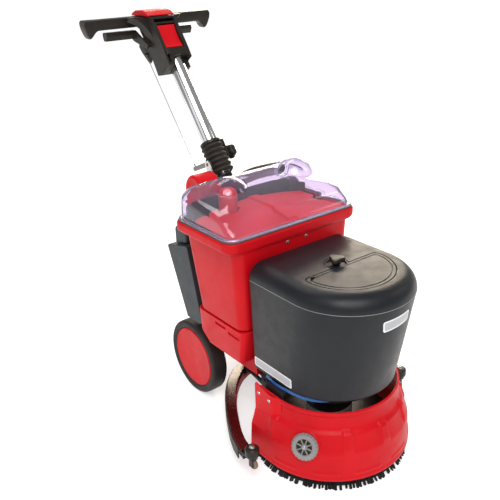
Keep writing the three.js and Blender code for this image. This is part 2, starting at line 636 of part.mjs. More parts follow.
function columnFoot() {
  const knuckle = rod(18.5, [-32, 0, 0], [32, 0, 0], 18);
  const neck = box([-18, 18], [-13, 13], [2, 30.7]);
  const spigot = rod(TUBE.radius - TUBE.wall - 0.6, [0, 0, 24], [0, 0, 70], 16);
  const bore = rod(PIVOT.pin + GAP, [-40, 0, 0], [40, 0, 0], 16);
  return part('column_foot', cut(join(knuckle, neck, spigot), bore), 'black');
}

function columnPin() {
  const pin = rod(PIVOT.pin, [-46.5, 0, 0], [44, 0, 0]);
  const { crankY, crankZ } = RELEASE;
  const plate = side([[-12, -10], [12, -10], [14, 8], [crankY + 13, crankZ - 6], [crankY + 9, crankZ + 9],
    [crankY - 9, crankZ + 9], [crankY - 12, crankZ - 6]], -46.5, -42.5);
  const bore = rod(4.4, [-50, crankY, crankZ], [-30, crankY, crankZ], 12);
  return part('pivot_pin_bracket', cut(join(pin, plate), bore), 'steel');
}

function columnTube() {
  const r = TUBE.radius;
  return part('column_tube', turned([[r - TUBE.wall, TUBE.from], [r, TUBE.from], [r, TUBE.to],
    [r - TUBE.wall, TUBE.to]], 24), 'chrome');
}

function bellows() {
  const b = BELLOWS;
  const pitch = (b.to - b.from) / b.folds;
  const inner = TUBE.radius + 0.8;
  const profile = [[inner, b.from]];
  for (let i = 0; i < b.folds; i += 1) {
    const radius = b.bottomRadius + ((b.topRadius - b.bottomRadius) * i) / (b.folds - 1);
    const z = b.from + pitch * i;
    profile.push([radius - b.depth, z], [radius, z + pitch * 0.35], [radius, z + pitch * 0.65]);
  }
  profile.push([b.topRadius - b.depth, b.to], [inner, b.to]);
  return part('bellows', turned(profile, 16), 'rubber');
}

// Ring on the tube above the bellows, with an arm down its right side that carries the clamp knob.
function clampCollar() {
  const c = CLAMP;
  const ring = rod(c.ring, [0, 0, c.low], [0, 0, c.high], 24);
  const boss = box([20, c.bossX], [-c.bossHalf, c.bossHalf], [c.low, c.high]);
  const arm = box([c.armX, c.bossX], [-c.bossHalf, c.bossHalf], [c.reach - 12, c.high]);
  const bore = rod(TUBE.radius + GAP, [0, 0, c.low - OVER], [0, 0, c.high + OVER], 24);
  const studBore = rod(c.stud + GAP, [c.armX - OVER, 0, c.reach], [c.bossX + OVER, 0, c.reach], 12);
  return part('clamp_collar', cut(join(ring, boss, arm), bore, studBore), 'black');
}

function clampKnob() {
  const { stud, bossX, knobRadius, knobThick, lobes } = CLAMP;
  const face = bossX + GAP;
  const shank = rod(stud, [bossX - 4.5, 0, 0], [face + 6, 0, 0], 12);
  const body = rod(knobRadius - 5, [face, 0, 0], [face + knobThick, 0, 0], 16);
  const grips = Array.from({ length: lobes }, (_, i) => {
    const angle = (i * 2 * Math.PI) / lobes;
    const [y, z] = [(knobRadius - 7) * Math.cos(angle), (knobRadius - 7) * Math.sin(angle)];
    return rod(7, [face + 4, y, z], [face + knobThick - 1, y, z], 8);
  });
  return part('clamp_knob', join(shank, body, ...grips), 'black', [0, 0, CLAMP.reach]);
}

function releaseCrank() {
  const { crankY, crankZ, eyeY, eyeZ, pin } = RELEASE;
  const [dy, dz] = [eyeY - crankY, eyeZ - crankZ];
  const arm = side([[-8, -7], [dy + 2, dz - 7], [dy + 7, dz], [dy + 2, dz + 6], [-6, 8], [-10, 0]], -42.2, -38.2);
  const stud = rod(4, [-48, 0, 0], [-40, 0, 0], 12);
  const peg = rod(pin, [-39, dy, dz], [-33, dy, dz]);
  return part('release_crank', join(arm, stud, peg), 'steel', [0, crankY, crankZ]);
}

function releaseWire() {
  const { x, eyeY, eyeZ, wire, ferrule, ferruleLength, pin } = RELEASE;
  const low = new THREE.Vector3(x, eyeY, eyeZ + pin + 0.6);
  const high = new THREE.Vector3(x, LEVER.pinY, LEVER.pinZ - pin - 0.6);
  const along = high.clone().sub(low).normalize();
  const end = (from, sign) => (
    rod(ferrule, from.toArray(), from.clone().addScaledVector(along, sign * ferruleLength).toArray(), 10));
  const core = rod(wire, low.toArray(), high.toArray(), 8);
  return part('release_wire', join(core, end(low, 1), end(high, -1)), 'steel');
}

// ---------------------------------------------------------------- handle head

function headShell() {
  const h = HEAD;
  const body = side([[-27, 358], [-31, 400], [-31, 505], [22, 543], [43, 514], [40, 440], [47, 368], [24, 356]],
    -h.half, h.half);
  const web = [[440, 38], [470, 42], [498, 52], [516, 66], [526, 84], [538, 84], [540, 60]];
  const outline = [...web, ...web.map(([t, x]) => [t, -x]).reverse()];
  const gusset = pulled('y', shapeOf(outline), -6, 18);
  const bore = rod(TUBE.radius + 0.6, [0, 0, 340], [0, 0, TUBE.to + 0.5], 24);
  const shaft = rod(LEVER.shaft + 0.4, [-60, LEVER.y, LEVER.z], [60, LEVER.y, LEVER.z], 16);
  const finSlot = box([-34.5, -25.5], [8, 80], [415, 512]);
  const pocket = box([-h.rockerHalf - 1, h.rockerHalf + 1], [-60, -9], [h.rockerZ - 38, h.rockerZ + 38]);
  const crossSlot = box([-32, 32], [-60, -12], [488, 499]);
  const latchSlot = box([-35, -28], [-60, -15], [366, 402]);
  const mouth = pulled('y', shapeOf([[330, -21], [374, -21], [382, -14], [386, 0], [386, 20], [382, 34],
    [374, 41], [374, 60], [330, 60]]), -60, -3);
  const below = side([[-60, 330], [-60, 484], [22, 543.2], [70, 508], [70, 330]], -100, 100);
  const blank = join(body, gusset).intersect(below);
  return part('head_shell', cut(blank, bore, shaft, finSlot, pocket, crossSlot, latchSlot, mouth), 'black');
}

function redRocker() {
  const half = HEAD.rockerLength / 2;
  const face = Array.from({ length: 7 }, (_, i) => {
    const z = -half + (2 * half * i) / 6;
    return [-28 + 5 * Math.cos((z / half) * (Math.PI / 2)), z];
  });
  const body = side([...face, [-14, half], [-14, -half]], -HEAD.rockerHalf, HEAD.rockerHalf);
  return part('red_rocker', body, 'red', [0, 0, HEAD.rockerZ]);
}

function heightLatch() {
  const stem = box([-34, -29], [-33, -17], [390, 400]);
  const button = box([-37, -26], [-39, -31.4], [386, 402]);
  return part('height_latch', join(stem, button), 'black');
}

function handLever() {
  const { y, z, pinY, pinZ, shaft, armX, armThick, reach } = LEVER;
  const axis = rod(shaft, [-armX - armThick, y, z], [armX + armThick, y, z], 16);
  const fin = side([[y - 6, z - 7], [y - 5, z + 8], [40, 478], [60, 498], [78, 502], [93, 489], [90, 468],
    [76, 424], [67, 424], [44, 440]], -33, -27);
  const peg = rod(RELEASE.pin, [-40, pinY, pinZ], [-30, pinY, pinZ], 12);
  const arms = [-1, 1].map((s) => side([[y - 8, z - 4], [y + 4, z - 8], [76, 500], [80, 512], [68, 531.5],
    [52, 519.5]],
    s > 0 ? armX : -armX - armThick, s > 0 ? armX + armThick : -armX));
  const fingers = [-1, 1].map((s) => side([[55.5, 510], [69, 503.5], [80, 512], [75, 528], [68, 531.5],
    [52, 519.5]],
    s > 0 ? armX : -reach, s > 0 ? reach : -armX));
  return part('hand_lever', join(axis, fin, peg, ...arms, ...fingers), 'black');
}

// The next two pieces stand level, so they work in a frame parallel to the floor at the pivot.

function handleBar() {
  const stations = [[205, 1003, 496], [190, 973, 501], [184, 973, 501], [172, 988, 494], [160, 993, 491],
    [60, 993, 491]];
  const all = [...stations.map(([x, z, y]) => [-x, z, y]), ...stations.reverse()];
  const sections = all.map(([x, z0, y1]) => {
    const [a, b, c, d] = [BAR.front, y1, z0, BAR.top];
    const cham = BAR.chamfer;
    const ring = [[a + cham, c], [b - cham, c], [b, c + cham], [b, d - cham], [b - cham, d], [a + cham, d],
      [a, d - cham], [a, c + cham]];
    return ring.map(([y, z]) => new THREE.Vector3(x, y - PIVOT.y, z - PIVOT.z));
  });
  return part('handle_bar', lofted(sections), 'black');
}

function topCover() {
  const outline = [[402, 1024.2], [402, 1028], [420, 1036], [440, 1039], [472, 1038], [494, 1030], [497, 1023.4],
    [470, 1023.4]].map(([y, z]) => [y - PIVOT.y, z - PIVOT.z]);
  return part('top_cover', side(outline, -42, 42), 'red');
}

function columnGroup() {
  const level = group([0, 0, 0], handleBar(), topCover());
  level.rotation.x = radians(PIVOT.lean);
  const node = group([0, PIVOT.y, PIVOT.z], columnFoot(), columnPin(), columnTube(), bellows(), clampCollar(),
    clampKnob(), releaseCrank(), releaseWire(), headShell(), redRocker(), heightLatch(), handLever(), level);
  node.rotation.x = -radians(PIVOT.lean);
  return node;
}

// ---------------------------------------------------------------- squeegee

// Half outline of the squeegee from the middle to the tip, mirrored to a full curve.
function squeegeeCurve() {
  const { apex, bend, tipX, tipY } = SQUEEGEE;
  const half = [0, 60, 120, 170, 210, 238].map((x) => new THREE.Vector3(x, apex - bend * x * x, 0));
  half.push(new THREE.Vector3(252, -256, 0), new THREE.Vector3(tipX, tipY, 0));
  const left = half.slice(1).map((p) => new THREE.Vector3(-p.x, p.y, 0)).reverse();
  return new THREE.CatmullRomCurve3([...left, ...half], false, 'centripetal');
}

// Strip that follows the squeegee curve between two offsets, trimmed at its ends.
function strip([in0, out0], [z0, z1], trim = 0, steps = 24) {
  const curve = squeegeeCurve();
  const sections = [];
  for (let i = 0; i <= steps; i += 1) {
    const u = trim + ((1 - 2 * trim) * i) / steps;
    const p = curve.getPointAt(u);
    const along = curve.getTangentAt(u);
    const out = new THREE.Vector3(-along.y, along.x, 0);
    const ring = [[out0, z0], [out0, z1], [in0, z1], [in0, z0]];
    sections.push(ring.map(([offset, z]) => p.clone().addScaledVector(out, offset).setZ(z)));
  }
  return lofted(sections);
}

function linkEnd(lower) {
  const raise = radians(LINK.raised);
  const y = LINK.pivotY + LINK.length * Math.cos(raise);
  const z = LINK.pivotZ + LINK.length * Math.sin(raise) - (lower ? LINK.drop : 0);
  return [y, z];
}

function squeegeeCarrier() {
  const s = SQUEEGEE;
  const half = s.carrierWidth / 2;
  const rail = strip([-half, half], [s.bottom + 8, s.top], 0.03);
  const boss = box([-22, 22], [s.apex - half + 2, HOSE.nozzleY + 16], [s.bottom + 12, s.top]);
  const [pinY, pinZ] = linkEnd(false);
  const lowZ = linkEnd(true)[1];
  const lugs = [-1, 1].map((k) => side([[pinY - 9, lowZ - 9], [s.apex - 16, s.bottom + 12],
    [s.apex - 16, s.top - 1], [pinY + 6.5, s.top - 1], [pinY + 6.5, pinZ + 5], [pinY + 4, pinZ + 8],
    [pinY - 7, pinZ + 8], [pinY - 9, pinZ + 4]], k * (LINK.x + 9) - 3, k * (LINK.x + 9) + 3));
  const pins = [pinZ, lowZ].map((z) => [-1, 1].map((k) => (
    rod(4, [k * (LINK.x + 9), pinY, z], [k * (LINK.x - 5), pinY, z], 12)))).flat();
  const tips = [-1, 1].flatMap((k) => [
    box([k * s.tipX - 9, k * s.tipX + 9], [s.tipY - 9, s.tipY + 45], [72, s.top - 1]),
    rod(4, [k * s.tipX, s.tipY, 74], [k * s.tipX, s.tipY, ROLLER.top + 2]),
    rod(9, [k * s.tipX, s.tipY, 74], [k * s.tipX, s.tipY, ROLLER.bottom - GAP]),
    box([k * (CASTER.x + 7) - 1.8, k * (CASTER.x + 7) + 1.8], [CASTER.y - 7, CASTER.y + 7], [50, 74]),
    rod(3, [k * (CASTER.x + 7), CASTER.y, CASTER.z], [k * (CASTER.x - 6), CASTER.y, CASTER.z], 10),
  ]);
  const socket = rod(HOSE.nozzle + GAP, [0, HOSE.nozzleY, 40], [0, HOSE.nozzleY, 100], 20);
  return part('squeegee_carrier', cut(join(rail, boss, ...lugs, ...pins, ...tips), socket), 'black');
}

function squeegeePlate() {
  const s = SQUEEGEE;
  const half = s.plateWidth / 2;
  const sheet = strip([-half, half], [s.top + GAP, s.top + GAP + s.plate], 0.035);
  const collarRoom = rod(HOSE.nozzle + 6, [0, HOSE.nozzleY, 0], [0, HOSE.nozzleY, 200], 20);
  return part('squeegee_plate', cut(sheet, collarRoom), 'steel');
}

function squeegeeBlades() {
  const s = SQUEEGEE;
  const half = s.carrierWidth / 2;
  const nozzleRoom = box([-23, 23], [0, 200], [s.bottom + 11, 200]);
  const rear = cut(strip([half + 1.2, half + 4.7], [s.bladeBottom, s.top], 0.05), nozzleRoom);
  const lugRoom = box([-LINK.x - 13, LINK.x + 13], [0, s.apex], [s.bottom + 10, 200]);
  const front = cut(strip([-half - 4.7, -half - 1.2], [s.bladeBottom, s.top - 10], 0.03), lugRoom);
  return [part('squeegee_blade_rear', rear, 'rubber'), part('squeegee_blade_front', front, 'red')];
}

function squeegeeNozzle() {
  const pipe = turned([[HOSE.nozzle - 2.5, 62], [HOSE.nozzle, 62], [HOSE.nozzle, 170], [HOSE.nozzle - 2.5, 170]], 20);
  const collar = turned([[HOSE.nozzle - 1, 78.2], [HOSE.nozzle + 5, 78.2], [HOSE.nozzle + 5, 84],
    [HOSE.nozzle - 1, 84]], 20);
  return part('squeegee_nozzle', join(pipe, collar), 'black', [0, HOSE.nozzleY, 0]);
}

function squeegeeLinks() {
  const [pinY, pinZ] = linkEnd(false);
  const at = { y: pinY - LINK.pivotY, z: pinZ - LINK.pivotZ };
  const bar = (x) => {
    const beam = rod(7, [x, 0, 0], [x, at.y, at.z], 6);
    const eyes = [[0, 0], [at.y, at.z]].map(([y, z]) => rod(9, [x - 4, y, z], [x + 4, y, z]));
    const trim = join(box([x - 20, x - 4], [-30, 120], [-60, 60]), box([x + 4, x + 20], [-30, 120], [-60, 60]));
    return cut(join(beam, ...eyes), trim, rod(4.4, [x - 8, at.y, at.z], [x + 8, at.y, at.z], 12));
  };
  const shaft = () => rod(LINK.pin, [-LINK.x - 14, 0, 0], [LINK.x + 14, 0, 0], 12);
  const upper = join(bar(-LINK.x), bar(LINK.x), shaft());
  const lower = join(bar(-LINK.x), bar(LINK.x), shaft());
  return [
    part('squeegee_arms', upper, 'black', [0, LINK.pivotY, LINK.pivotZ]),
    part('squeegee_lower_link', lower, 'black', [0, LINK.pivotY, LINK.pivotZ - LINK.drop]),
  ];
}

function squeegeeMount() {
  const low = LINK.pivotZ - LINK.drop;
  const cheeks = [-1, 1].map((s) => box([s * (LINK.x + 9) - 3, s * (LINK.x + 9) + 3],
    [LINK.pivotY - 12, LINK.pivotY + 12], [low - 12, CHASSIS.tubBottom - GAP]));
  const bridge = box([-LINK.x - 10, LINK.x + 10], [LINK.pivotY - 18, LINK.pivotY + 18],
    [CHASSIS.tubBottom - 7, CHASSIS.tubBottom - GAP]);
  const bores = [LINK.pivotZ, low].map((z) => rod(LINK.pin + GAP, [-90, LINK.pivotY, z], [90, LINK.pivotY, z], 12));
  return part('squeegee_mount', cut(join(bridge, ...cheeks), ...bores), 'black');
}

function squeegeeTip(name, s) {
  const roller = turned([[4.4, ROLLER.bottom], [ROLLER.radius - 2, ROLLER.bottom], [ROLLER.radius, ROLLER.bottom + 3],
    [ROLLER.radius, ROLLER.top - 4], [ROLLER.radius - 4, ROLLER.top], [4.4, ROLLER.top]], 18);
  const half = CASTER.width / 2;
  const wheelShape = turnedAlongX([[3.4, -half], [CASTER.radius - 2, -half], [CASTER.radius, -half + 2],
    [CASTER.radius, half - 2], [CASTER.radius - 2, half], [3.4, half]], 16);
  return [
    part(`bumper_roller_${name}`, roller, 'black', [s * SQUEEGEE.tipX, SQUEEGEE.tipY, 0]),
    part(`caster_wheel_${name}`, wheelShape, 'brown', [s * CASTER.x, CASTER.y, CASTER.z]),
  ];
}

// Recovery hose from the squeegee nozzle, up inside the tower, to the inlet of the clear lid.
function suctionHose() {
  const route = [[0, HOSE.nozzleY, HOSE.bottom], [0, HOSE.nozzleY, 150], [0, HOSE.nozzleY, 178], [0, 72, 212],
    [0, 92, 255], [0, 108, 310], [0, 108.6, 380], [0, 108.6, 470], [2, 111, 512], [14, 134, 545], [54, 166, 566],
    [88, 158, 590], [112, 136, 604], [134, 110, 613], [147, 90, 619], [INLET.x, INLET.face + 6, INLET.z],
    [INLET.x, INLET.face, INLET.z]];
  const curve = new THREE.CatmullRomCurve3(route.map((p) => new THREE.Vector3(...p)), false, 'centripetal');
  const socket = rod(HOSE.bore, [0, HOSE.nozzleY, HOSE.bottom - OVER], [0, HOSE.nozzleY, 176], 20);
  return part('suction_hose', cut(swept(curve, HOSE.radius, 34, 10), socket), 'black');
}

// ---------------------------------------------------------------- assembly

const scrubber = new THREE.Group();
scrubber.name = 'floor_scrubber';
scrubber.add(brushGroup(), brushDrive(), deckFrame(), brushSkirt(), skirtDial());
scrubber.add(solutionTank(), fillerLid(), fillerKnob(), solutionHose());
scrubber.add(recoveryTank(), tankGasket(), tankBaffle(), splashWall(), floatFilter(), clearLid());
scrubber.add(chassisShell(), battery('battery_front', -112), battery('battery_rear', -37));
scrubber.add(wheel('left', -1), wheel('right', 1), axle(), axleBracket());
scrubber.add(rearHousing(), controlBox(), chargerUnit(), columnTower(), vacuumHousing(), vacuumTurbine());
scrubber.add(columnGroup());
scrubber.add(squeegeeCarrier(), squeegeePlate(), ...squeegeeBlades(), squeegeeNozzle(), ...squeegeeLinks());
scrubber.add(squeegeeMount(), ...squeegeeTip('left', -1), ...squeegeeTip('right', 1), suctionHose());

export default scrubber;
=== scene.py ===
"""Looks of the walk-behind wet and dry floor scrubber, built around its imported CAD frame.

Lengths in the shape code are millimetres in the row frame: +Z up, front towards -Y.
"""

import json
import math
import random

import bmesh
import bpy
from mathutils import Matrix, Vector

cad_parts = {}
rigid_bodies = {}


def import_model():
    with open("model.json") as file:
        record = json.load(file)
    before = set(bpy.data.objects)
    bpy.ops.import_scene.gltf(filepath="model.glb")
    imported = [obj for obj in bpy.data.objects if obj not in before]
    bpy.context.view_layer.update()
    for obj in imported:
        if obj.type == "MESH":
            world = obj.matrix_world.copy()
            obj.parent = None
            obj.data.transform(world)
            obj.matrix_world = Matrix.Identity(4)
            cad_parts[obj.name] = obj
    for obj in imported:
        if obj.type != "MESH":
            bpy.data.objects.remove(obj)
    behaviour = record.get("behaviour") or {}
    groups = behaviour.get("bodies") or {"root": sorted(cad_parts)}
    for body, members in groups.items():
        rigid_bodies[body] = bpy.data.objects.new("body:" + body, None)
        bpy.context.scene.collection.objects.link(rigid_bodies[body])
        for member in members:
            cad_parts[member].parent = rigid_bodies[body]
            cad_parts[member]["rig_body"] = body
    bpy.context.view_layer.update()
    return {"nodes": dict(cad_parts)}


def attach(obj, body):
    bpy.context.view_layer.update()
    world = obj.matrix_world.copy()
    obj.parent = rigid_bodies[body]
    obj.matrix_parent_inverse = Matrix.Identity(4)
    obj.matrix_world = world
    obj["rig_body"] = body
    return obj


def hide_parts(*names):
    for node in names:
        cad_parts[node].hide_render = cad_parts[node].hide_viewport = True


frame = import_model()
SCENE = bpy.context.scene
MM = 0.001
TAU = 2 * math.pi

# ---- camera

CAMERA_PLACE = (-1.02257, -1.34686, 1.17755)
CAMERA_LENS = 49.25
YAW, PITCH, ROLL = math.radians(36.67), math.radians(23.51), math.radians(-2.09)


def add_camera():
    """Camera at the photograph's angle: YAW turns it from +Y to +X, PITCH tips it down, ROLL leans it."""
    ahead = Vector((math.sin(YAW) * math.cos(PITCH), math.cos(YAW) * math.cos(PITCH), -math.sin(PITCH)))
    level = Vector((math.cos(YAW), -math.sin(YAW), 0))
    upright = level.cross(ahead)
    right = math.cos(ROLL) * level + math.sin(ROLL) * upright
    up = -math.sin(ROLL) * level + math.cos(ROLL) * upright
    camera = bpy.data.objects.new("camera", bpy.data.cameras.new("camera"))
    camera.data.sensor_width = 36
    camera.data.lens = CAMERA_LENS
    camera.data.clip_end = 200
    axes = Matrix((right, up, -ahead)).transposed().to_4x4()
    camera.matrix_world = Matrix.Translation(CAMERA_PLACE) @ axes
    SCENE.collection.objects.link(camera)
    SCENE.camera = camera


add_camera()

# ---- materials

NOISE_LOW, NOISE_HIGH = 0.3, 0.7


class Nodes:
    """Small helper that adds and links shader nodes of one material."""

    def __init__(self, name):
        self.material = bpy.data.materials.new(name)
        self.material.use_nodes = True
        self.tree = self.material.node_tree
        self.tree.nodes.clear()
        self.output = self.add("ShaderNodeOutputMaterial")

    def add(self, kind, values=None, **settings):
        node = self.tree.nodes.new(kind)
        for key, value in settings.items():
            setattr(node, key, value)
        for key, value in (values or {}).items():
            node.inputs[key].default_value = value
        return node

    def link(self, source, target):
        self.tree.links.new(source, target)

    def noise(self, scale, detail=2.0, rough=0.5, stretch=None):
        """Noise over the object; scale is in turns per metre."""
        coords = self.add("ShaderNodeTexCoord").outputs["Object"]
        if stretch:
            mapping = self.add("ShaderNodeMapping", {"Scale": stretch})
            self.link(coords, mapping.inputs["Vector"])
            coords = mapping.outputs["Vector"]
        node = self.add("ShaderNodeTexNoise", {"Scale": scale, "Detail": detail, "Roughness": rough})
        self.link(coords, node.inputs["Vector"])
        return node.outputs["Fac"]

    def spread(self, source, low, high, start=NOISE_LOW, stop=NOISE_HIGH):
        """Number that goes from low to high while the source goes from start to stop."""
        node = self.add("ShaderNodeMapRange", {"From Min": start, "From Max": stop,
                                               "To Min": low, "To Max": high})
        self.link(source, node.inputs["Value"])
        return node.outputs["Result"]

    def ramp(self, source, first, second):
        """Colour that goes from first to second with a noise."""
        node = self.add("ShaderNodeValToRGB")
        node.color_ramp.elements[0].position = NOISE_LOW
        node.color_ramp.elements[1].position = NOISE_HIGH
        node.color_ramp.elements[0].color = (*first, 1)
        node.color_ramp.elements[1].color = (*second, 1)
        self.link(source, node.inputs["Fac"])
        return node.outputs["Color"]

    def mix(self, factor, first, second):
        """Colour between first, a colour or another node's, and the colour second."""
        node = self.add("ShaderNodeMix", {7: (*second, 1)}, data_type="RGBA")
        self.link(factor, node.inputs[0])
        if isinstance(first, tuple):
            node.inputs[6].default_value = (*first, 1)
        else:
            self.link(first, node.inputs[6])
        return node.outputs[2]

    def math(self, operation, first, second):
        node = self.add("ShaderNodeMath", operation=operation)
        self.link(first, node.inputs[0])
        self.link(second, node.inputs[1])
        return node.outputs[0]

    def bump(self, *layers):
        """Normal from (height, strength, distance in millimetres) layers, one on top of the other."""
        normal = None
        for height, strength, distance in layers:
            node = self.add("ShaderNodeBump", {"Strength": strength, "Distance": distance * MM})
            self.link(height, node.inputs["Height"])
            if normal:
                self.link(normal, node.inputs["Normal"])
            normal = node.outputs["Normal"]
        return normal


def moulded(name, base, shade, rough, grain=1400, depth=0.12, edge=0.25, shine=0.26):
    """Moulded plastic or rubber: soft colour patches, fine grain, a worn lighter edge and uneven gloss."""
    n = Nodes(name)
    surface = n.add("ShaderNodeBsdfPrincipled", {"Specular IOR Level": shine})
    colour = n.ramp(n.noise(9, detail=4), shade, base)
    worn = n.spread(n.add("ShaderNodeNewGeometry").outputs["Pointiness"], 0, edge, 0.52, 0.60)
    light = tuple(min(1, c * 1.6 + 0.02) for c in base)
    n.link(n.mix(worn, colour, light), surface.inputs["Base Color"])
    n.link(n.spread(n.noise(38, detail=3), rough - 0.05, rough + 0.07), surface.inputs["Roughness"])
    ripple = n.noise(26), 0.5, 0.4
    fine = n.noise(grain), 0.6, depth
    n.link(n.bump(ripple, fine), surface.inputs["Normal"])
    n.link(surface.outputs["BSDF"], n.output.inputs["Surface"])
    return n.material


def metal(name, base, rough, stretch=(1, 1, 12), depth=0.03, spread=0.08):
    """Bare or plated metal with fine lines, smudges and uneven gloss."""
    n = Nodes(name)
    surface = n.add("ShaderNodeBsdfPrincipled", {"Metallic": 1.0})
    dark = tuple(c * 0.8 for c in base)
    n.link(n.ramp(n.noise(14, detail=4), dark, base), surface.inputs["Base Color"])
    n.link(n.spread(n.noise(60, detail=4), rough, rough + spread), surface.inputs["Roughness"])
    lines = n.noise(900, detail=3, rough=0.6, stretch=stretch), 0.5, depth
    n.link(n.bump(lines), surface.inputs["Normal"])
    n.link(surface.outputs["BSDF"], n.output.inputs["Surface"])
    return n.material


def clear_plastic():
    """Clear plastic, faintly violet, with painted highlights at its creases and rims, where it is paler and
    hazier, that lets lamps through.
    """
    n = Nodes("clear_plastic")
    surface = n.add("ShaderNodeBsdfPrincipled", {"IOR": 1.46})
    rim = n.add("ShaderNodeLayerWeight", {"Blend": 0.35}).outputs["Facing"]
    point = n.add("ShaderNodeNewGeometry").outputs["Pointiness"]
    # Painted highlight mask: convex and hollow creases alike get less transmission and a whiter colour.
    crease_highlight = n.math("MAXIMUM", n.spread(point, 0, 1, 0.53, 0.60), n.spread(point, 1, 0, 0.40, 0.47))
    clearness = n.math("MULTIPLY", n.spread(crease_highlight, 1.0, 0.55, 0, 1), n.spread(rim, 0.97, 0.84, 0.3, 1.0))
    n.link(clearness, surface.inputs["Transmission Weight"])
    # Painted highlight: the base colour turns nearly white at the creases and where the surface faces away
    # from view.
    painted_highlight = n.math("MAXIMUM", crease_highlight, n.spread(rim, 0, 0.8, 0.35, 1.0))
    n.link(n.mix(painted_highlight, (0.76, 0.70, 0.87), (0.97, 0.95, 1.0)), surface.inputs["Base Color"])
    n.link(n.spread(n.noise(30, detail=3), 0.0, 0.03), surface.inputs["Roughness"])
    waves = n.noise(18), 0.35, 0.5
    n.link(n.bump(waves), surface.inputs["Normal"])
    open_shader = n.add("ShaderNodeBsdfTransparent", {"Color": (0.82, 0.78, 0.90, 1)})
    path = n.add("ShaderNodeLightPath")
    both = n.add("ShaderNodeMixShader")
    n.link(path.outputs["Is Shadow Ray"], both.inputs["Fac"])
    n.link(surface.outputs["BSDF"], both.inputs[1])
    n.link(open_shader.outputs["BSDF"], both.inputs[2])
    n.link(both.outputs["Shader"], n.output.inputs["Surface"])
    return n.material


MOULDED = {
    "red_plastic": dict(base=(0.61, 0.005, 0.011), shade=(0.53, 0.003, 0.008), rough=0.40, shine=0.15),
    "charcoal_plastic": dict(base=(0.011, 0.0135, 0.017), shade=(0.008, 0.010, 0.013), rough=0.38,
                             grain=1800, depth=0.2, shine=0.30),
    "slate_plastic": dict(base=(0.034, 0.042, 0.050), shade=(0.026, 0.033, 0.040), rough=0.42),
    "black_plastic": dict(base=(0.022, 0.018, 0.014), shade=(0.015, 0.012, 0.010), rough=0.36, edge=0.3),
    "black_metal": dict(base=(0.016, 0.017, 0.020), shade=(0.012, 0.012, 0.014), rough=0.32, grain=900),
    "rubber_black": dict(base=(0.034, 0.028, 0.022), shade=(0.022, 0.019, 0.016), rough=0.5,
                         grain=2200, edge=0.5),
    "rubber_red": dict(base=(0.42, 0.014, 0.018), shade=(0.3, 0.010, 0.014), rough=0.5),
    "tyre_rubber": dict(base=(0.030, 0.027, 0.024), shade=(0.019, 0.017, 0.016), rough=0.58,
                        grain=1500, edge=0.4),
    "bristle": dict(base=(0.005, 0.0045, 0.004), shade=(0.003, 0.003, 0.003), rough=0.5, edge=0.05),
    "grey_plastic": dict(base=(0.30, 0.295, 0.285), shade=(0.21, 0.20, 0.195), rough=0.34),
    "gasket_foam": dict(base=(0.11, 0.11, 0.095), shade=(0.07, 0.07, 0.06), rough=0.75, grain=3000,
                        depth=0.3),
    "blue_tube": dict(base=(0.02, 0.10, 0.32), shade=(0.012, 0.07, 0.24), rough=0.22),
    "brown_nylon": dict(base=(0.24, 0.15, 0.10), shade=(0.17, 0.10, 0.07), rough=0.5),
    "label_white": dict(base=(0.86, 0.86, 0.86), shade=(0.78, 0.78, 0.79), rough=0.3, edge=0.0),
    "label_grey": dict(base=(0.50, 0.51, 0.53), shade=(0.42, 0.43, 0.45), rough=0.3, edge=0.0),
    "seam_light": dict(base=(0.22, 0.23, 0.235), shade=(0.13, 0.14, 0.145), rough=0.4),
}
MATERIALS = {name: moulded(name, **look) for name, look in MOULDED.items()}
MATERIALS["clear_plastic"] = clear_plastic()
MATERIALS["steel"] = metal("steel", (0.60, 0.59, 0.58), 0.20)
MATERIALS["steel_dull"] = metal("steel_dull", (0.20, 0.185, 0.175), 0.22)
MATERIALS["chrome"] = metal("chrome", (0.90, 0.89, 0.87), 0.07, stretch=(1, 1, 1), depth=0.004, spread=0.06)

# ---- mesh helpers


def mesh_of(name, shape, dissolve=False):
    """Mesh in metres from (points, faces) in millimetres, on request without faces that have no area."""
    points, faces = shape
    mesh = bpy.data.meshes.new(name)
    mesh.from_pydata([Vector(p) * MM for p in points], [], faces)
    tidy = bmesh.new()
    tidy.from_mesh(mesh)
    bmesh.ops.remove_doubles(tidy, verts=tidy.verts, dist=2e-6)
    if dissolve:
        bmesh.ops.dissolve_degenerate(tidy, edges=tidy.edges, dist=1e-6)
    bmesh.ops.recalc_face_normals(tidy, faces=tidy.faces)
    tidy.to_mesh(mesh)
    tidy.free()
    return mesh


def smoothed(mesh, angle):
    """Smooth shading with the edges sharper than angle kept."""
    mesh.shade_smooth()
    mesh.set_sharp_from_angle(angle=math.radians(angle))


def make(name, shape, slot, body="root", replaces=(), smooth=35, look=None):
    """Turns (points, faces) in millimetres into a piece that rides on a body.

    The slot's own material covers it unless another one is named as its look.
    """
    return adopt(name, mesh_of(name, shape, dissolve=True), slot, body, replaces, smooth, look)


def adopt(name, mesh, slot, body, replaces, smooth, look):
    """Makes a mesh in metres a piece of the model."""
    mesh.materials.clear()
    mesh.materials.append(MATERIALS[look or slot])
    smoothed(mesh, smooth)
    piece = bpy.data.objects.new(name, mesh)
    SCENE.collection.objects.link(piece)
    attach(piece, body)
    if replaces:
        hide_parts(*replaces)
    return piece


def bevel(piece, width, angle=32):
    """Rounds the edges sharper than angle, width millimetres wide."""
    modifier = piece.modifiers.new("rounded", "BEVEL")
    modifier.width = width * MM
    modifier.segments = 3
    modifier.limit_method = "ANGLE"
    modifier.angle_limit = math.radians(angle)
    modifier.harden_normals = True
    modifier.use_clamp_overlap = True


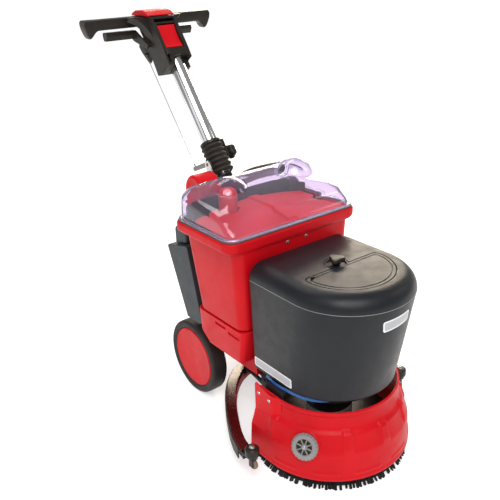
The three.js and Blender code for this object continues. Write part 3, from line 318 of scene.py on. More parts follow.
def baked(piece):
    """Replaces a piece's mesh by what its modifiers make of it."""
    bpy.context.view_layer.update()
    graph = bpy.context.evaluated_depsgraph_get()
    mesh = bpy.data.meshes.new_from_object(piece.evaluated_get(graph))
    piece.modifiers.clear()
    piece.data = mesh


def loose(shape):
    """An object outside the model, used as a cutting or joining tool."""
    tool = bpy.data.objects.new("tool", mesh_of("tool", shape))
    SCENE.collection.objects.link(tool)
    return tool


def carve(piece, *away, add=(), angle=30):
    """Joins the shapes in add to a piece, then cuts the others away and restores its smoothing."""
    tools = []
    for operation, shapes in (("UNION", add), ("DIFFERENCE", away)):
        for shape in shapes:
            modifier = piece.modifiers.new("carve", "BOOLEAN")
            modifier.operation = operation
            modifier.solver = "EXACT"
            modifier.object = loose(shape)
            tools.append(modifier.object)
    baked(piece)
    for tool in tools:
        bpy.data.objects.remove(tool)
    smoothed(piece.data, angle)


def arc(middle, radius, first, last, steps):
    """Level points (x, y) of an arc, from one angle in degrees to the other."""
    turns = [math.radians(first + (last - first) * k / steps) for k in range(steps + 1)]
    return [(middle[0] + radius * math.cos(turn), middle[1] + radius * math.sin(turn)) for turn in turns]


def bend(start, middle, end, t):
    """Point at t of a curve that leaves start towards middle and reaches end from it."""
    return tuple((1 - t) ** 2 * a + 2 * t * (1 - t) * b + t * t * c for a, b, c in zip(start, middle, end))


def rounded(path, steps=5):
    """Rounds the corners of a path of (values, radius) pairs; the values may have any number of terms."""
    out = []
    for i, (values, radius) in enumerate(path):
        if radius <= 0 or i in (0, len(path) - 1):
            out.append(tuple(values))
            continue
        before, after = path[i - 1][0], path[i + 1][0]
        gap_before = math.dist(values, before)
        gap_after = math.dist(values, after)
        cut = min(radius, 0.48 * gap_before, 0.48 * gap_after)
        start = [v + (b - v) * cut / gap_before for v, b in zip(values, before)]
        stop = [v + (a - v) * cut / gap_after for v, a in zip(values, after)]
        out += [bend(start, values, stop, k / steps) for k in range(steps + 1)]
    return out


def spline(values, count):
    """Catmull-Rom samples through tuples of any length."""
    ends = [tuple(2 * a - b for a, b in zip(values[0], values[1]))] + list(values)
    ends.append(tuple(2 * a - b for a, b in zip(values[-1], values[-2])))
    out = []
    spans = len(values) - 1
    for i in range(count + 1):
        u = min(i / count * spans, spans - 1e-9)
        k = int(u)
        t = u - k
        p0, p1, p2, p3 = ends[k:k + 4]
        out.append(tuple(0.5 * (2 * b + (c - a) * t + (2 * a - 5 * b + 4 * c - d) * t * t
                                + (3 * b - a - 3 * c + d) * t ** 3) for a, b, c, d in zip(p0, p1, p2, p3)))
    return out


def loft(rings, start=True, end=True):
    """Skin over closed rings of equally many points, with a cap at the start and at the end."""
    count = len(rings[0])
    points = [p for ring in rings for p in ring]
    faces = []
    for i in range(len(rings) - 1):
        for j in range(count):
            a = i * count + j
            b = i * count + (j + 1) % count
            faces.append((a, b, b + count, a + count))
    if start:
        faces.append(tuple(reversed(range(count))))
    if end:
        faces.append(tuple(range((len(rings) - 1) * count, len(rings) * count)))
    return points, faces


def joined(*shapes):
    """Several shapes as one."""
    points, faces = [], []
    for some, more in shapes:
        base = len(points)
        points += list(some)
        faces += [tuple(i + base for i in face) for face in more]
    return points, faces


def placed(shape, move=(0, 0, 0), z_axis=(0, 0, 1), x_axis=(1, 0, 0)):
    """Moves a shape so that its Z points along z_axis and its origin sits at move."""
    z = Vector(z_axis).normalized()
    in_line = abs(z.dot(Vector(x_axis))) > 0.99
    x = Vector((0, 0, 1) if in_line else x_axis)
    x = (x - z * x.dot(z)).normalized()
    y = z.cross(x)
    origin = Vector(move)
    points, faces = shape
    return [tuple(origin + x * p[0] + y * p[1] + z * p[2]) for p in points], faces


def turned(profile, count=48, wrap=False):
    """Revolves (radius, z) points about Z. With wrap the profile closes on itself."""
    profile = list(profile) + ([profile[0]] if wrap else [])
    rings = [wavy_ring(count, lambda turn, r=r: r, z) for r, z in profile]
    points, faces = loft(rings, start=False, end=False)
    last = len(rings) - 1
    if not wrap:
        faces.append(tuple(reversed(range(count))))
        faces.append(tuple(range(last * count, (last + 1) * count)))
    return points, faces


def wavy_ring(count, radius_at, z):
    """Level ring whose radius depends on the angle."""
    turns = [TAU * j / count for j in range(count)]
    return [(radius_at(turn) * math.cos(turn), radius_at(turn) * math.sin(turn), z) for turn in turns]


def rect_ring(half, y0, y1, radius, z, steps=12):
    """Level rectangle with round corners, half wide each way and from y0 to y1."""
    corners = [(half - radius, y1 - radius, 0), (radius - half, y1 - radius, 90),
               (radius - half, y0 + radius, 180), (half - radius, y0 + radius, 270)]
    outline = []
    for x, y, first in corners:
        outline += arc((x, y), radius, first, first + 90, steps)
    return [(x, y, z) for x, y in outline]


def block(x0, x1, y0, y1, z0, z1, radius=2.0):
    """Box with all its edges rounded."""
    half = (x1 - x0) / 2
    middle = (x0 + x1) / 2
    radius = min(radius, half * 0.9, (y1 - y0) * 0.45, (z1 - z0) * 0.45)
    rings = []
    for k in range(5):
        a = math.pi / 2 * k / 4
        rings.append((radius * (1 - math.sin(a)), z0 + radius * (1 - math.cos(a))))
    rings += [(inset, z1 + z0 - z) for inset, z in reversed(rings)]
    shape = loft([rect_ring(half - inset, y0 + inset, y1 - inset, max(radius - inset, 0.05) + 0.2, z, 4)
                  for inset, z in rings])
    return [(p[0] + middle, p[1], p[2]) for p in shape[0]], shape[1]


def prism(outline, low, high):
    """Level outline of (x, y) pulled from low to high."""
    return loft([[(x, y, z) for x, y in outline] for z in (low, high)])


def tube(route, radius_at, sides):
    """Sweeps a circle along dense points; radius_at gives the radius at each length along them."""
    points = [Vector(p) for p in route]
    tangents = []
    for i in range(len(points)):
        a = points[max(i - 1, 0)]
        b = points[min(i + 1, len(points) - 1)]
        tangents.append((b - a).normalized())
    side = Vector((0, 0, 1)).cross(tangents[0])
    if side.length < 0.1:
        side = Vector((1, 0, 0))
    rings = []
    length = 0
    for i, (p, t) in enumerate(zip(points, tangents)):
        if i:
            length += (p - points[i - 1]).length
        side = (side - t * side.dot(t)).normalized()
        other = t.cross(side)
        r = radius_at(length)
        turns = [TAU * j / sides for j in range(sides)]
        rings.append([tuple(p + side * (r * math.cos(a)) + other * (r * math.sin(a))) for a in turns])
    return loft(rings)


def along(route, step):
    """Resamples a smooth curve through the route's points about every step."""
    dense = [Vector(p) for p in spline(route, 24 * (len(route) - 1))]
    out = [dense[0]]
    carried = 0
    for a, b in zip(dense, dense[1:]):
        gap = (b - a).length
        while carried + gap >= step:
            share = (step - carried) / gap
            a = a.lerp(b, share)
            out.append(a.copy())
            gap = (b - a).length
            carried = 0
        carried += gap
    out.append(dense[-1])
    return out


def screw(name, place, out, r, body="root"):
    """Round-headed cross-slot screw of radius r, its face along out."""
    head = turned(rounded([((0.01, 0.45 * r), 0), ((0.45 * r, 0.45 * r), 0), ((0.9 * r, 0.25 * r), 0.3 * r),
                           ((r, 0), 0.1 * r), ((r, -0.3 * r), 0)]), 24)
    piece = make(name, placed(head, place, out), "steel", body)
    long, thin, low, high = 0.6 * r, 0.09 * r, 0.22 * r, 0.8 * r
    x_bar = block(-long, long, -thin, thin, low, high, 0.02)
    y_bar = block(-thin, thin, -long, long, low, high, 0.02)
    carve(piece, placed(x_bar, place, out), placed(y_bar, place, out), angle=35)


FLAT = 0.6


def dressed(node, slot, width, angle=32, look=None):
    """A CAD node's own shape with its faces merged where FLAT degrees or flatter, and its edges rounded."""
    source = frame["nodes"][node]
    tidy = bmesh.new()
    tidy.from_mesh(source.data)
    bmesh.ops.remove_doubles(tidy, verts=tidy.verts, dist=1e-5)
    bmesh.ops.dissolve_limit(tidy, angle_limit=math.radians(FLAT), verts=tidy.verts, edges=tidy.edges)
    bmesh.ops.recalc_face_normals(tidy, faces=tidy.faces)
    mesh = bpy.data.meshes.new(node + "_skin")
    tidy.to_mesh(mesh)
    tidy.free()
    piece = adopt(node + "_skin", mesh, slot, source["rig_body"], (node,), 40, look)
    if width:
        bevel(piece, width, angle)
    return piece


# ---- brush and skirt

BRUSH_Y = -290
BRISTLES_TOP = 45.2
TUFT_SIDES = 5
# Radius, number of tufts and outward lean of each ring.
TUFT_ROWS = [(100, 96, 0), (116, 108, 0.02), (132, 120, 0.04), (148, 132, 0.08), (162, 170, 0.25),
             (171, 236, 0.52)]


def tuft(angle, stations):
    """Bundle through (reach, height, radius, turn) stations, seen in the direction of angle."""
    rings = []
    for reach, z, radius, turn in stations:
        t = angle + turn
        ring = []
        for j in range(TUFT_SIDES):
            b = TAU * j / TUFT_SIDES
            out, across = reach + radius * math.cos(b), radius * math.sin(b)
            ring.append((out * math.cos(t) - across * math.sin(t),
                         BRUSH_Y + out * math.sin(t) + across * math.cos(t), max(z, 0)))
        rings.append(ring)
    return loft(rings)


def bristles():
    """Rings of nylon tufts over a dark core; the outer rings lean outwards."""
    rng = random.Random(7)
    tufts = []
    for radius, count, lean in TUFT_ROWS:
        for k in range(count):
            angle = TAU * (k + rng.uniform(-0.3, 0.3)) / count
            foot = rng.uniform(0, 2.6)
            reach = min(radius + lean * 45 + rng.uniform(0, 5), 198)
            thick = rng.uniform(2.6, 4.0)
            twist = rng.uniform(-0.025, 0.025)
            bent = radius + lean * 10
            tufts.append(tuft(angle, [(radius, BRISTLES_TOP, 1.7, 0), (bent, 26, 2.2, twist / 2),
                                      (reach, foot, thick, twist)]))
    core = turned([(104, 45.1), (163, 45.1), (176, 30), (188, 12), (190, 5), (110, 5)], 96, wrap=True)
    return joined(*tufts, placed(core, (0, BRUSH_Y, 0)))


make("bristles", bristles(), "bristle", "brush", ("brush_bristles",))
dressed("brush_block", "black_plastic", 1.5)
dressed("brush_hub", "steel", 0.8)

# Outside of the skirt from its rim up, as (radius, z) corners with their rounding.
SKIRT_WALL = [((203, 29), 0), ((203.5, 34), 2), ((201.5, 40), 3), ((200, 70), 9), ((198, 102), 5),
              ((190, 122), 12), ((183, 146), 2.5), ((174, 156), 5), ((171, 168), 8), ((170, 188), 1.5),
              ((173, 191), 1), ((173, 199), 0.8), ((171.5, 200), 0)]
SKIRT_THICK = 4
SKIRT_STEP = 2.6
STRAIGHT, STRAIGHT_STEP = 70, 7
ARC_STEPS = 300
RIB_ANGLES = (-180, -120, -90, -60, -30, 0)
DASH_ANGLES = (-165, -135, -105, -75, -45, -15)


def smoothstep(low, high, value):
    """0 up to low, 1 from high on, and a soft rise between them."""
    t = min(1, max(0, (value - low) / (high - low)))
    return t * t * (3 - 2 * t)


def nearest(angle, places):
    """Degrees from angle to the nearest of some places."""
    return min(abs((angle - place + 180) % 360 - 180) for place in places)


def skirt_bump(angle, z):
    """How far the ribs and the dashes near the rim stand out of the skirt, in millimetres."""
    off = math.radians(nearest(angle, RIB_ANGLES)) * 190
    upright = smoothstep(98, 118, z) * (1 - smoothstep(150, 159, z))
    rib = 5.2 * (1 - smoothstep(9.5, 14, off)) * upright
    upright = smoothstep(44, 46, z) * (1 - smoothstep(51, 54, z))
    dash = 2.2 * (1 - smoothstep(9, 10, nearest(angle, DASH_ANGLES))) * upright
    return max(rib, dash)


def skirt_levels():
    """Points of the skirt's outside, no more than about SKIRT_STEP apart."""
    corners = rounded(SKIRT_WALL, 6)
    levels = []
    for (r0, z0), (r1, z1) in zip(corners, corners[1:]):
        count = max(1, int(math.dist((r0, z0), (r1, z1)) / SKIRT_STEP))
        levels += [(r0 + (r1 - r0) * k / count, z0 + (z1 - z0) * k / count) for k in range(count)]
    return levels + [corners[-1]]


def skirt_ring(levels, ox, oy, back):
    """Section of the skirt in the direction (ox, oy), moved back along its straight ends."""
    angle = math.degrees(math.atan2(oy, ox))
    fade = 1 - smoothstep(8, 14, back)
    outside = [(r + fade * skirt_bump(angle, z), z) for r, z in levels]
    inside = [(r - SKIRT_THICK, z) for r, z in levels[::4] + [levels[-1]]]
    return [(r * ox, BRUSH_Y + r * oy + back, z) for r, z in outside + inside[::-1]]


def skirt_shell():
    """Half-round wall at the front with straight ends at the rear."""
    steps = STRAIGHT // STRAIGHT_STEP
    stations = [(1, 0, STRAIGHT - STRAIGHT_STEP * k) for k in range(steps)]
    turns = [-math.pi * k / ARC_STEPS for k in range(ARC_STEPS + 1)]
    stations += [(math.cos(turn), math.sin(turn), 0) for turn in turns]
    stations += [(-1, 0, STRAIGHT_STEP * k) for k in range(1, steps + 1)]
    levels = skirt_levels()
    return loft([skirt_ring(levels, ox, oy, back) for ox, oy, back in stations])


DIAL_TURN, DIAL_TILT = math.radians(210), math.radians(20)
DIAL_REACH, DIAL_Z = 194, 116
DIAL_OUT = (math.cos(DIAL_TURN) * math.cos(DIAL_TILT), math.sin(DIAL_TURN) * math.cos(DIAL_TILT),
            math.sin(DIAL_TILT))
DIAL_AT = (DIAL_REACH * math.cos(DIAL_TURN), BRUSH_Y + DIAL_REACH * math.sin(DIAL_TURN), DIAL_Z)

WING_FRONT, WING_STEP, WING_SECTIONS = -14, 2, 43
WING_LOW, WING_OUT, WING_THICK = 142, 184, 4
# Top edge of a wing, as (y behind the brush's middle, z).
WING_TOP = [(-14, 201), (20, 206), (50, 212.5), (64, 216), (68, 215), (70, 212)]
WING_SCREWS = [(-236, 191), (-274, 188)]


def wing(side):
    """Upright plate that leaves the round wall and runs back to a raised rear corner."""
    rings = []
    for k in range(WING_SECTIONS):
        y = WING_FRONT + WING_STEP * k
        out = WING_OUT - 12 * (1 - smoothstep(-16, 12, y))
        back = out - WING_THICK
        low, high = [(a, b) for a, b in zip(WING_TOP, WING_TOP[1:]) if a[0] <= y <= b[0]][0]
        top = low[1] + (high[1] - low[1]) * (y - low[0]) / (high[0] - low[0])
        outline = [(out, WING_LOW), (out, top - 1.2), (out - 1.2, top), (back + 1.2, top),
                   (back, top - 1.2), (back, WING_LOW)]
        rings.append([(side * x, BRUSH_Y + y, z) for x, z in outline])
    return loft(rings)


def skirt():
    """Cover over the brush, its two wings with their screws, and the boss that carries the dial."""
    make("skirt", skirt_shell(), "red_plastic", "root", ("brush_skirt",), 50)
    for side, name in ((-1, "skirt_wing_left"), (1, "skirt_wing_right")):
        make(name, wing(side), "red_plastic")
        for k, (y, z) in enumerate(WING_SCREWS):
            screw(f"{name}_screw_{k}", (side * (WING_OUT + 0.2), y, z), (side, 0, 0), 5)
    boss = turned(rounded([((0.01, -1), 0), ((31, -1), 0), ((33.5, 0.6), 1.5), ((37, -1.5), 3),
                           ((40, -14), 4), ((41, -26), 0)]), 64)
    make("skirt_dial_boss", placed(boss, DIAL_AT, DIAL_OUT), "red_plastic")


skirt()

DIAL_TEETH, DIAL_SPOKES, SPOKE_TOP = 22, 8, 10
# Dial's outside from its foot over its rim to the well, as (radius, z, depth of the teeth).
DIAL_LEVELS = [(32, 0.4, 0), (33, 2.5, 0.4), (33, 6.5, 1.6), (31.5, 9.0, 1.9), (29.5, 11, 0.5), (28, 12, 0),
               (21.5, 12, 0), (19.5, 10.5, 0), (19, 5, 0)]


def spun(shape, turn):
    """Turns a shape about Z."""
    points, faces = shape
    return [(x * math.cos(turn) - y * math.sin(turn), x * math.sin(turn) + y * math.cos(turn), z)
            for x, y, z in points], faces


def dial():
    """Toothed knob with spokes over a dark well and a screw in its middle."""
    def tooth(turn):
        return smoothstep(0.35, 0.75, 0.5 + 0.5 * math.cos(turn * DIAL_TEETH))

    rings = [wavy_ring(DIAL_TEETH * 8, lambda turn, r=r, depth=depth: r - depth * tooth(turn), z)
             for r, z, depth in DIAL_LEVELS]
    spoke = block(5, 20, -1.5, 1.5, 4.5, SPOKE_TOP, 1.0)
    spokes = [spun(spoke, TAU * k / DIAL_SPOKES) for k in range(DIAL_SPOKES)]
    hub = turned(rounded([((0.01, 11.5), 0), ((5.5, 11.5), 1.5), ((7.5, 9.5), 1.5), ((8, 4.5), 0)]), 32)
    knob = joined(loft(rings), *spokes, hub)
    make("dial", placed(knob, DIAL_AT, DIAL_OUT), "grey_plastic", "dial", ("skirt_dial",), 40)
    well = turned([(0.01, 5.3), (19.2, 5.3), (19.2, 5.0), (0.01, 5.0)], 32)
    make("dial_well", placed(well, DIAL_AT, DIAL_OUT), "grey_plastic", "dial", (), 40, "black_plastic")
    screw("dial_screw", Vector(DIAL_AT) + Vector(DIAL_OUT) * 11.4, DIAL_OUT, 4.2, "dial")


dial()
dressed("gearbox", "grey_plastic", 2)
dressed("brush_motor", "black_metal", 2)
dressed("deck_frame", "black_metal", 1.5)

# ---- solution tank

SEAM_Z, TANK_REAR, TANK_EDGE, TANK_WALL = 470, -178, 38, 5
# Half width and middle of the front arc at the foot, above its rounding, and at the seam.
FOOT_HALF, FOOT_Y, FOOT_Z = 139, -300, 223
LOW_HALF, LOW_Y, LOW_Z = 152, -302, 229
TOP_HALF, TOP_Y, TOP_Z = 161, -340, 468


def tank_ring(half, arc_y, rear, z):
    """Level ring of the tank: two round corners at the rear and a half circle at the front."""
    corner = 7
    outline = arc((half - corner, rear - corner), corner, 0, 90, 4)
    outline += arc((corner - half, rear - corner), corner, 90, 180, 4)
    outline += arc((0, arc_y), half, 180, 360, 72)
    return [(x, y, z) for x, y in outline]


LID_RADIUS, LID_REAR, LID_ARC_Y = 115, -323, -337
LOBE_RADIUS, FILLER_Y = 29, -308
# Half width of the mouth under the filler lid's middle, where its outline has no lobe.
MOUTH_HALF = 24


def half_moon(grow, lobed=True):
    """The filler lid's outline, round at the front and flat at the rear, grown by so many millimetres."""
    radius, rear = LID_RADIUS + grow, LID_REAR + grow
    lobe, lobe_y = (LOBE_RADIUS + grow, FILLER_Y) if lobed else (MOUTH_HALF, rear)
    tip = radius - 14
    reach = math.sqrt(max(lobe ** 2 - (rear - lobe_y) ** 2, 1))
    end_angle = math.atan2(rear - lobe_y, reach)
    out = []
    for k in range(25):
        a = end_angle + (math.pi - 2 * end_angle) * k / 24
        out.append((lobe * math.cos(a), lobe_y + lobe * math.sin(a) * lobed))
    out += [(-reach + (reach - tip) * k / 6, rear) for k in range(1, 7)]
    shoulder = math.radians(-6)
    flank = radius * math.cos(shoulder), LID_ARC_Y + radius * math.sin(shoulder)
    corner = [bend((tip, rear), (radius + 2, rear), flank, k / 8) for k in range(9)]
    out += [(-x, y) for x, y in corner[1:]]
    out += arc((0, LID_ARC_Y), radius, 186, 354, 72)[1:-1]
    out += corner[:0:-1]
    out += [(tip + (reach - tip) * k / 6, rear) for k in range(6)]
    return out


def tank_body(inset):
    """Tank from foot to top, inset all round."""
    half, edge, foot = TOP_HALF - inset, TANK_EDGE - inset, FOOT_Z + inset
    path = rounded([((FOOT_HALF - inset, FOOT_Y, foot), 0), ((LOW_HALF - inset, LOW_Y, foot), 9),
                    ((half, TOP_Y, TOP_Z), 0)], 6)
    path.append((half, TOP_Y, SEAM_Z))
    for k in range(1, 15):
        a = math.pi / 2 * k / 14
        path.append((half - edge * (1 - math.cos(a)), TOP_Y, SEAM_Z + (edge - inset) * math.sin(a)))
    return loft([tank_ring(reach, arc_y, TANK_REAR - inset, z) for reach, arc_y, z in path])


def solution_tank():
    """Hollow tank with its filler mouth and lid seat, and the light line of the mould seam."""
    piece = make("solution_tank_body", tank_body(0), "charcoal_plastic", "root", ("solution_tank",), 30)
    mouth, seat = prism(half_moon(-14, False), 480, 512), prism(half_moon(2.0), 502.4, 512)
    carve(piece, tank_body(TANK_WALL), mouth, seat, angle=28)
    bead = [(-0.6, 468.6), (0.35, 468.9), (0.5, 469.6), (0.3, 470.3), (-0.6, 470.6)]
    rings = []
    for x, y, _ in tank_ring(TOP_HALF, TOP_Y, TANK_REAR, 0)[6:]:
        out = Vector((x, y - TOP_Y, 0)) if y < TOP_Y else Vector((x, 0, 0))
        out.normalize()
        rings.append([(x + out.x * off, y + out.y * off, z) for off, z in bead])
    make("solution_tank_seam", loft(rings), "charcoal_plastic", "root", (), 60, "seam_light")


solution_tank()


def tank_point(reach, z, out):
    """Point on the tank wall, reach mm forward from its left rear corner round the front, out mm off it."""
    t = (z - LOW_Z) / (TOP_Z - LOW_Z)
    half, arc_y = LOW_HALF + (TOP_HALF - LOW_HALF) * t, LOW_Y + (TOP_Y - LOW_Y) * t
    straight = TANK_REAR - arc_y
    if reach < straight:
        return -half - out, TANK_REAR - reach, z
    a = math.pi + (reach - straight) / half
    return (half + out) * math.cos(a), arc_y + (half + out) * math.sin(a), z


def tank_label(name, place, size, corner, look, out, lean):
    """Thin blank label with round corners that follows the tank wall; lean tilts it along the wall."""
    (reach, z), (width, height) = place, size
    sunk = -0.3
    rings = []
    for k in range(49):
        u = -width / 2 + width * k / 48
        edge = max(0, abs(u) - (width / 2 - corner))
        half = height / 2 - corner + math.sqrt(max(corner ** 2 - edge ** 2, 0.01))
        middle = z + lean * u
        section = ((-half, sunk), (-half, out), (half, out), (half, sunk))
        rings.append([tank_point(reach + u, middle + v, w) for v, w in section])
    make(name, loft(rings), "charcoal_plastic", "root", (), 40, look)


SIDE_LABEL, FRONT_LABEL = (74, 246), (414, 429)
tank_label("model_label", SIDE_LABEL, (138, 26), 3, "label_white", 0.5, 0)
tank_label("model_label_panel", SIDE_LABEL, (132, 20), 2, "label_grey", 0.65, 0)
tank_label("front_label", FRONT_LABEL, (86, 30), 5, "label_white", 0.5, 0.04)
tank_label("front_label_panel", FRONT_LABEL, (78, 22), 3, "label_grey", 0.65, 0.04)

# How far each level of the filler lid stands out from its outline, and its height.
LID_LEVELS = [(0, 502.8), (0, 507.2), (-0.8, 508), (-7.2, 508), (-8.0, 506.8), (-9.4, 506.8), (-10.4, 508.2),
              (-20, 508.4)]


def filler_lid():
    """Lid with a groove inside its edge, a round hole for the knob and a small nub at its left tip."""
    rings = [[(x, y, z) for x, y in half_moon(grow, grow > -5)] for grow, z in LID_LEVELS]
    piece = make("filler_lid_plate", loft(rings), "charcoal_plastic", "filler_lid", ("filler_lid",), 30)
    hole = turned([(0.01, 505), (24, 505), (25.5, 512), (0.01, 512)], 48)
    carve(piece, placed(hole, (0, FILLER_Y, 0)))
    make("filler_lid_nub", block(-99, -91, -333, -327, 507.6, 512, 1.5), "black_plastic", "filler_lid")


filler_lid()


def knob_shape(levels, lobes, deep, turn):
    """Knob through (radius, z) levels with so many lobes; deep is how far the hollows cut in."""
    def lobe(r):
        return lambda a: r * (1 + deep * math.cos(lobes * (a - turn))) / (1 + deep)

    return loft([wavy_ring(72, lobe(r), z) for r, z in levels])


cap = knob_shape([(7, 0), (9.5, 1), (10, 6), (15, 7.5), (20, 8.5), (21.5, 11), (21, 15.5), (18.5, 18),
                  (9, 18.7), (2, 18.3)], 3, 0.22, math.radians(90))
make("filler_knob_cap", placed(cap, (0, FILLER_Y, 505.3)), "black_plastic", "filler_knob",
     ("filler_knob",), 40)
dressed("solution_hose", "blue_tube", 0)

# ---- recovery tank

LEFT_DOME, RIGHT_DOME = (-84, 0, 604), (139, 2, 608)
INLET_X, INLET_Z, INLET_RADIUS, INLET_BORE = 150, 622, 24, 19
FLOAT_AT = (*LEFT_DOME[:2], 0)


def rect_rings(path):
    """Level rectangles with round corners from (half width, front, rear, corner radius, z) sets."""
    return [rect_ring(*place) for place in path]


def recovery_tank():
    """Tapered tank with a wide flange; the path runs up the outside, over the flange and down inside."""
    path = rounded([((163, -152, 25, 22, 313), 0), ((171, -160, 31, 26, 319), 9),
                    ((184, -168, 60, 28, 529), 5), ((185.5, -168.6, 61, 28.5, 535), 4),
                    ((203, -171.4, 73, 32, 536.5), 4), ((209, -173, 75, 34, 542), 5),
                    ((209, -173, 75, 34, 559.5), 2.5), ((206.5, -171.5, 73.5, 33, 563), 2.5),
                    ((191, -163, 62, 24, 563), 1.5), ((190, -162.5, 61.5, 24, 547), 1),
                    ((179.5, -161.5, 55, 22, 546.5), 2), ((166, -152, 26, 20, 320), 6),
                    ((160, -146, 21, 16, 318), 0)], 5)
    make("recovery_tank_body", loft(rect_rings(path)), "red_plastic", "root", ("recovery_tank",), 32)
    for k, x in enumerate((-30, 30)):
        screw(f"flange_screw_{k}", (x, -168.4, 527), (0, -1, 0.05), 4.5)


recovery_tank()


def gasket():
    """Closed strip of foam between the flange and the clear lid."""
    path = rounded([((193, -160, 60, 24, 563.3), 0), ((204, -169, 71, 30, 563.3), 0.8),
                    ((204.6, -169.5, 71.5, 30, 565.2), 0.8), ((204, -169, 71, 30, 567), 0.8),
                    ((193, -160, 60, 24, 567), 0)], 3)
    rings = rect_rings(path)
    return loft(rings + rings[:1], start=False, end=False)


make("tank_gasket_ring", gasket(), "gasket_foam", "root", ("tank_gasket",), 50)

BAFFLE_HALF, BAFFLE_FRONT, BAFFLE_REAR, BAFFLE_Z = 178, -146, 30, 563
BAFFLE_ARCH, BAFFLE_THICK, BAND, BAND_RISE = 20, 4, 30, 4.5


def baffle_height(x, y):
    """Height of the panel: an arch that rises from the front, with a raised band by its middle."""
    rise = 0.08 + 0.92 * smoothstep(BAFFLE_FRONT - 10, BAFFLE_FRONT + 84, y)
    z = BAFFLE_Z + BAFFLE_ARCH * rise * math.cos(x / BAFFLE_HALF * math.pi / 2)
    band = smoothstep(-1.5, 1.5, x) * (1 - smoothstep(BAND - 1.5, BAND + 1.5, x))
    z += BAND_RISE * band * smoothstep(BAFFLE_FRONT, BAFFLE_FRONT + 12, y)
    return z - 2.5 * (1 - smoothstep(0, 10, BAFFLE_REAR - y))


def baffle():
    """Arched panel with a notch round the float filter, on two feet."""
    steps = 72
    across = [BAFFLE_HALF * (2 * i / steps - 1) for i in range(steps + 1)]
    across += [edge + off for edge in (0, BAND) for off in (-1.5, -0.5, 0.5, 1.5)]
    along_y = [BAFFLE_FRONT + (BAFFLE_REAR - BAFFLE_FRONT) * j / 36 for j in range(37)]
    rings = []
    for x in sorted(across):
        top = [(x, y, baffle_height(x, y)) for y in along_y]
        rings.append(top + [(x, y, z - BAFFLE_THICK) for _, y, z in reversed(top)])
    piece = make("baffle_panel", loft(rings), "red_plastic", "root", ("tank_baffle",), 30)
    notch = turned([(0.01, 500), (29, 500), (29, 640), (0.01, 640)], 48)
    carve(piece, placed(notch, FLOAT_AT))
    for side, name in ((-1, "baffle_foot_left"), (1, "baffle_foot_right")):
        x = side * 175.5
        make(name, block(x - 3, x + 3, -120, 10, 547.4, 562, 1.5), "red_plastic")


baffle()


def splash_wall():
    """The CAD wall with its two sides cut low, as only its rear shows through the lid."""
    piece = dressed("splash_wall", "black_plastic", 0)
    carve(piece, *[block(x, x + 46, -90, 6, 566, 640) for x in (-196, 150)], angle=35)
    bevel(piece, 1.0)


splash_wall()
float_profile = rounded([((0.01, 500), 0), ((18, 500), 3), ((24, 510), 3), ((24, 622), 4), ((18, 634), 5),
                         ((0.01, 634), 0)])
make("float_cage", placed(turned(float_profile, 40), FLOAT_AT), "red_plastic", "root",
     ("float_filter",), 40)

LID_BOTTOM, LID_WALL = 567.35, 2.6
# The lid's roof climbs to the rear by this share of y, starting at CLIMB_Y and CLIMB_Z.
CLIMB, CLIMB_Y, CLIMB_Z, CLIMB_SPAN = 0.14, -130, 573, 40


def lid_box(inset):
    """Body of the clear lid, inset all round; an inset one starts lower, to cut right through."""
    foot = 567.3 - (5 if inset else 0)
    keys = [(196, -163, 66, 26, foot), (195.2, -160.5, 66, 26, 578), (194.3, -150, 65.8, 26, 589),
            (193.3, -137.5, 65.5, 26, 599 - inset / 2), (190.5, -130.5, 64.5, 25, 605.5 - inset),
            (182, -118, 60, 22, 611.5 - inset), (165, -104, 56, 21, 615.5 - inset),
            (120, -72, 47, 18, 619.5 - inset), (60, -36, 34, 12, 621 - inset),
            (28, -18, 20, 8, 621.4 - inset)]
    rings = []
    for half, y0, y1, radius, z in spline(keys, 54):
        climb = max(0, (z - CLIMB_Z) / CLIMB_SPAN) * CLIMB
        ring = rect_ring(half - inset, y0 + inset, y1 - inset, radius, z)
        rings.append([(x, y, level + climb * (y - CLIMB_Y)) for x, y, level in ring])
    return loft(rings)


def dome(radius, height):
    """Ball stretched along Z."""
    steps = 40
    profile = []
    for k in range(steps + 1):
        a = math.pi * k / steps
        profile.append((max(radius * math.sin(a), 0.01), -height * math.cos(a)))
    return turned(profile, 80)


def lid_parts(inset):
    """The lid's body and its two domes, all inset by the same wall."""
    left, right = dome(60 - inset, 61 - inset), dome(55 - inset, 63 - inset)
    return [lid_box(inset), placed(left, LEFT_DOME), placed(right, RIGHT_DOME)]


def clear_lid():
    """Hollow lid with two domes, a rim that lies on the gasket and a socket for the suction hose."""
    body, *domes = lid_parts(0)
    path = rounded([((190, -157, 60, 24, LID_BOTTOM), 0), ((203, -168, 70, 30, LID_BOTTOM), 1),
                    ((203.4, -168.3, 70.3, 30, 569.4), 1.2), ((202.6, -167.6, 69.6, 30, 571.6), 1.2),
                    ((190, -157, 60, 24, 571.6), 0)], 3)
    rim = loft(rect_rings(path))
    socket = turned([(0.01, 0), (INLET_RADIUS, 0), (INLET_RADIUS, 32.5), (0.01, 32.5)], 48)
    socket = placed(socket, (INLET_X, 40, INLET_Z), (0, 1, 0))
    bore = turned([(0.01, 0), (INLET_BORE, 0), (INLET_BORE, 60), (0.01, 60)], 48)
    bore = placed(bore, (INLET_X, 20, INLET_Z + 0.01), (0, 1, 0))
    below = block(-300, 300, -300, 300, 500, LID_BOTTOM - 0.02, 0.1)
    piece = make("lid_shell", body, "clear_plastic", "clear_lid", ("clear_lid",), 30)
    carve(piece, *lid_parts(LID_WALL), bore, below, add=(rim, socket, *domes))


clear_lid()

# ---- chassis, wheels and rear housing

dressed("chassis_shell", "red_plastic", 3.0, 38)
dressed("battery_front", "black_plastic", 3)
dressed("battery_rear", "black_plastic", 3)
dressed("axle", "steel", 0.8)
dressed("axle_bracket", "black_metal", 1)

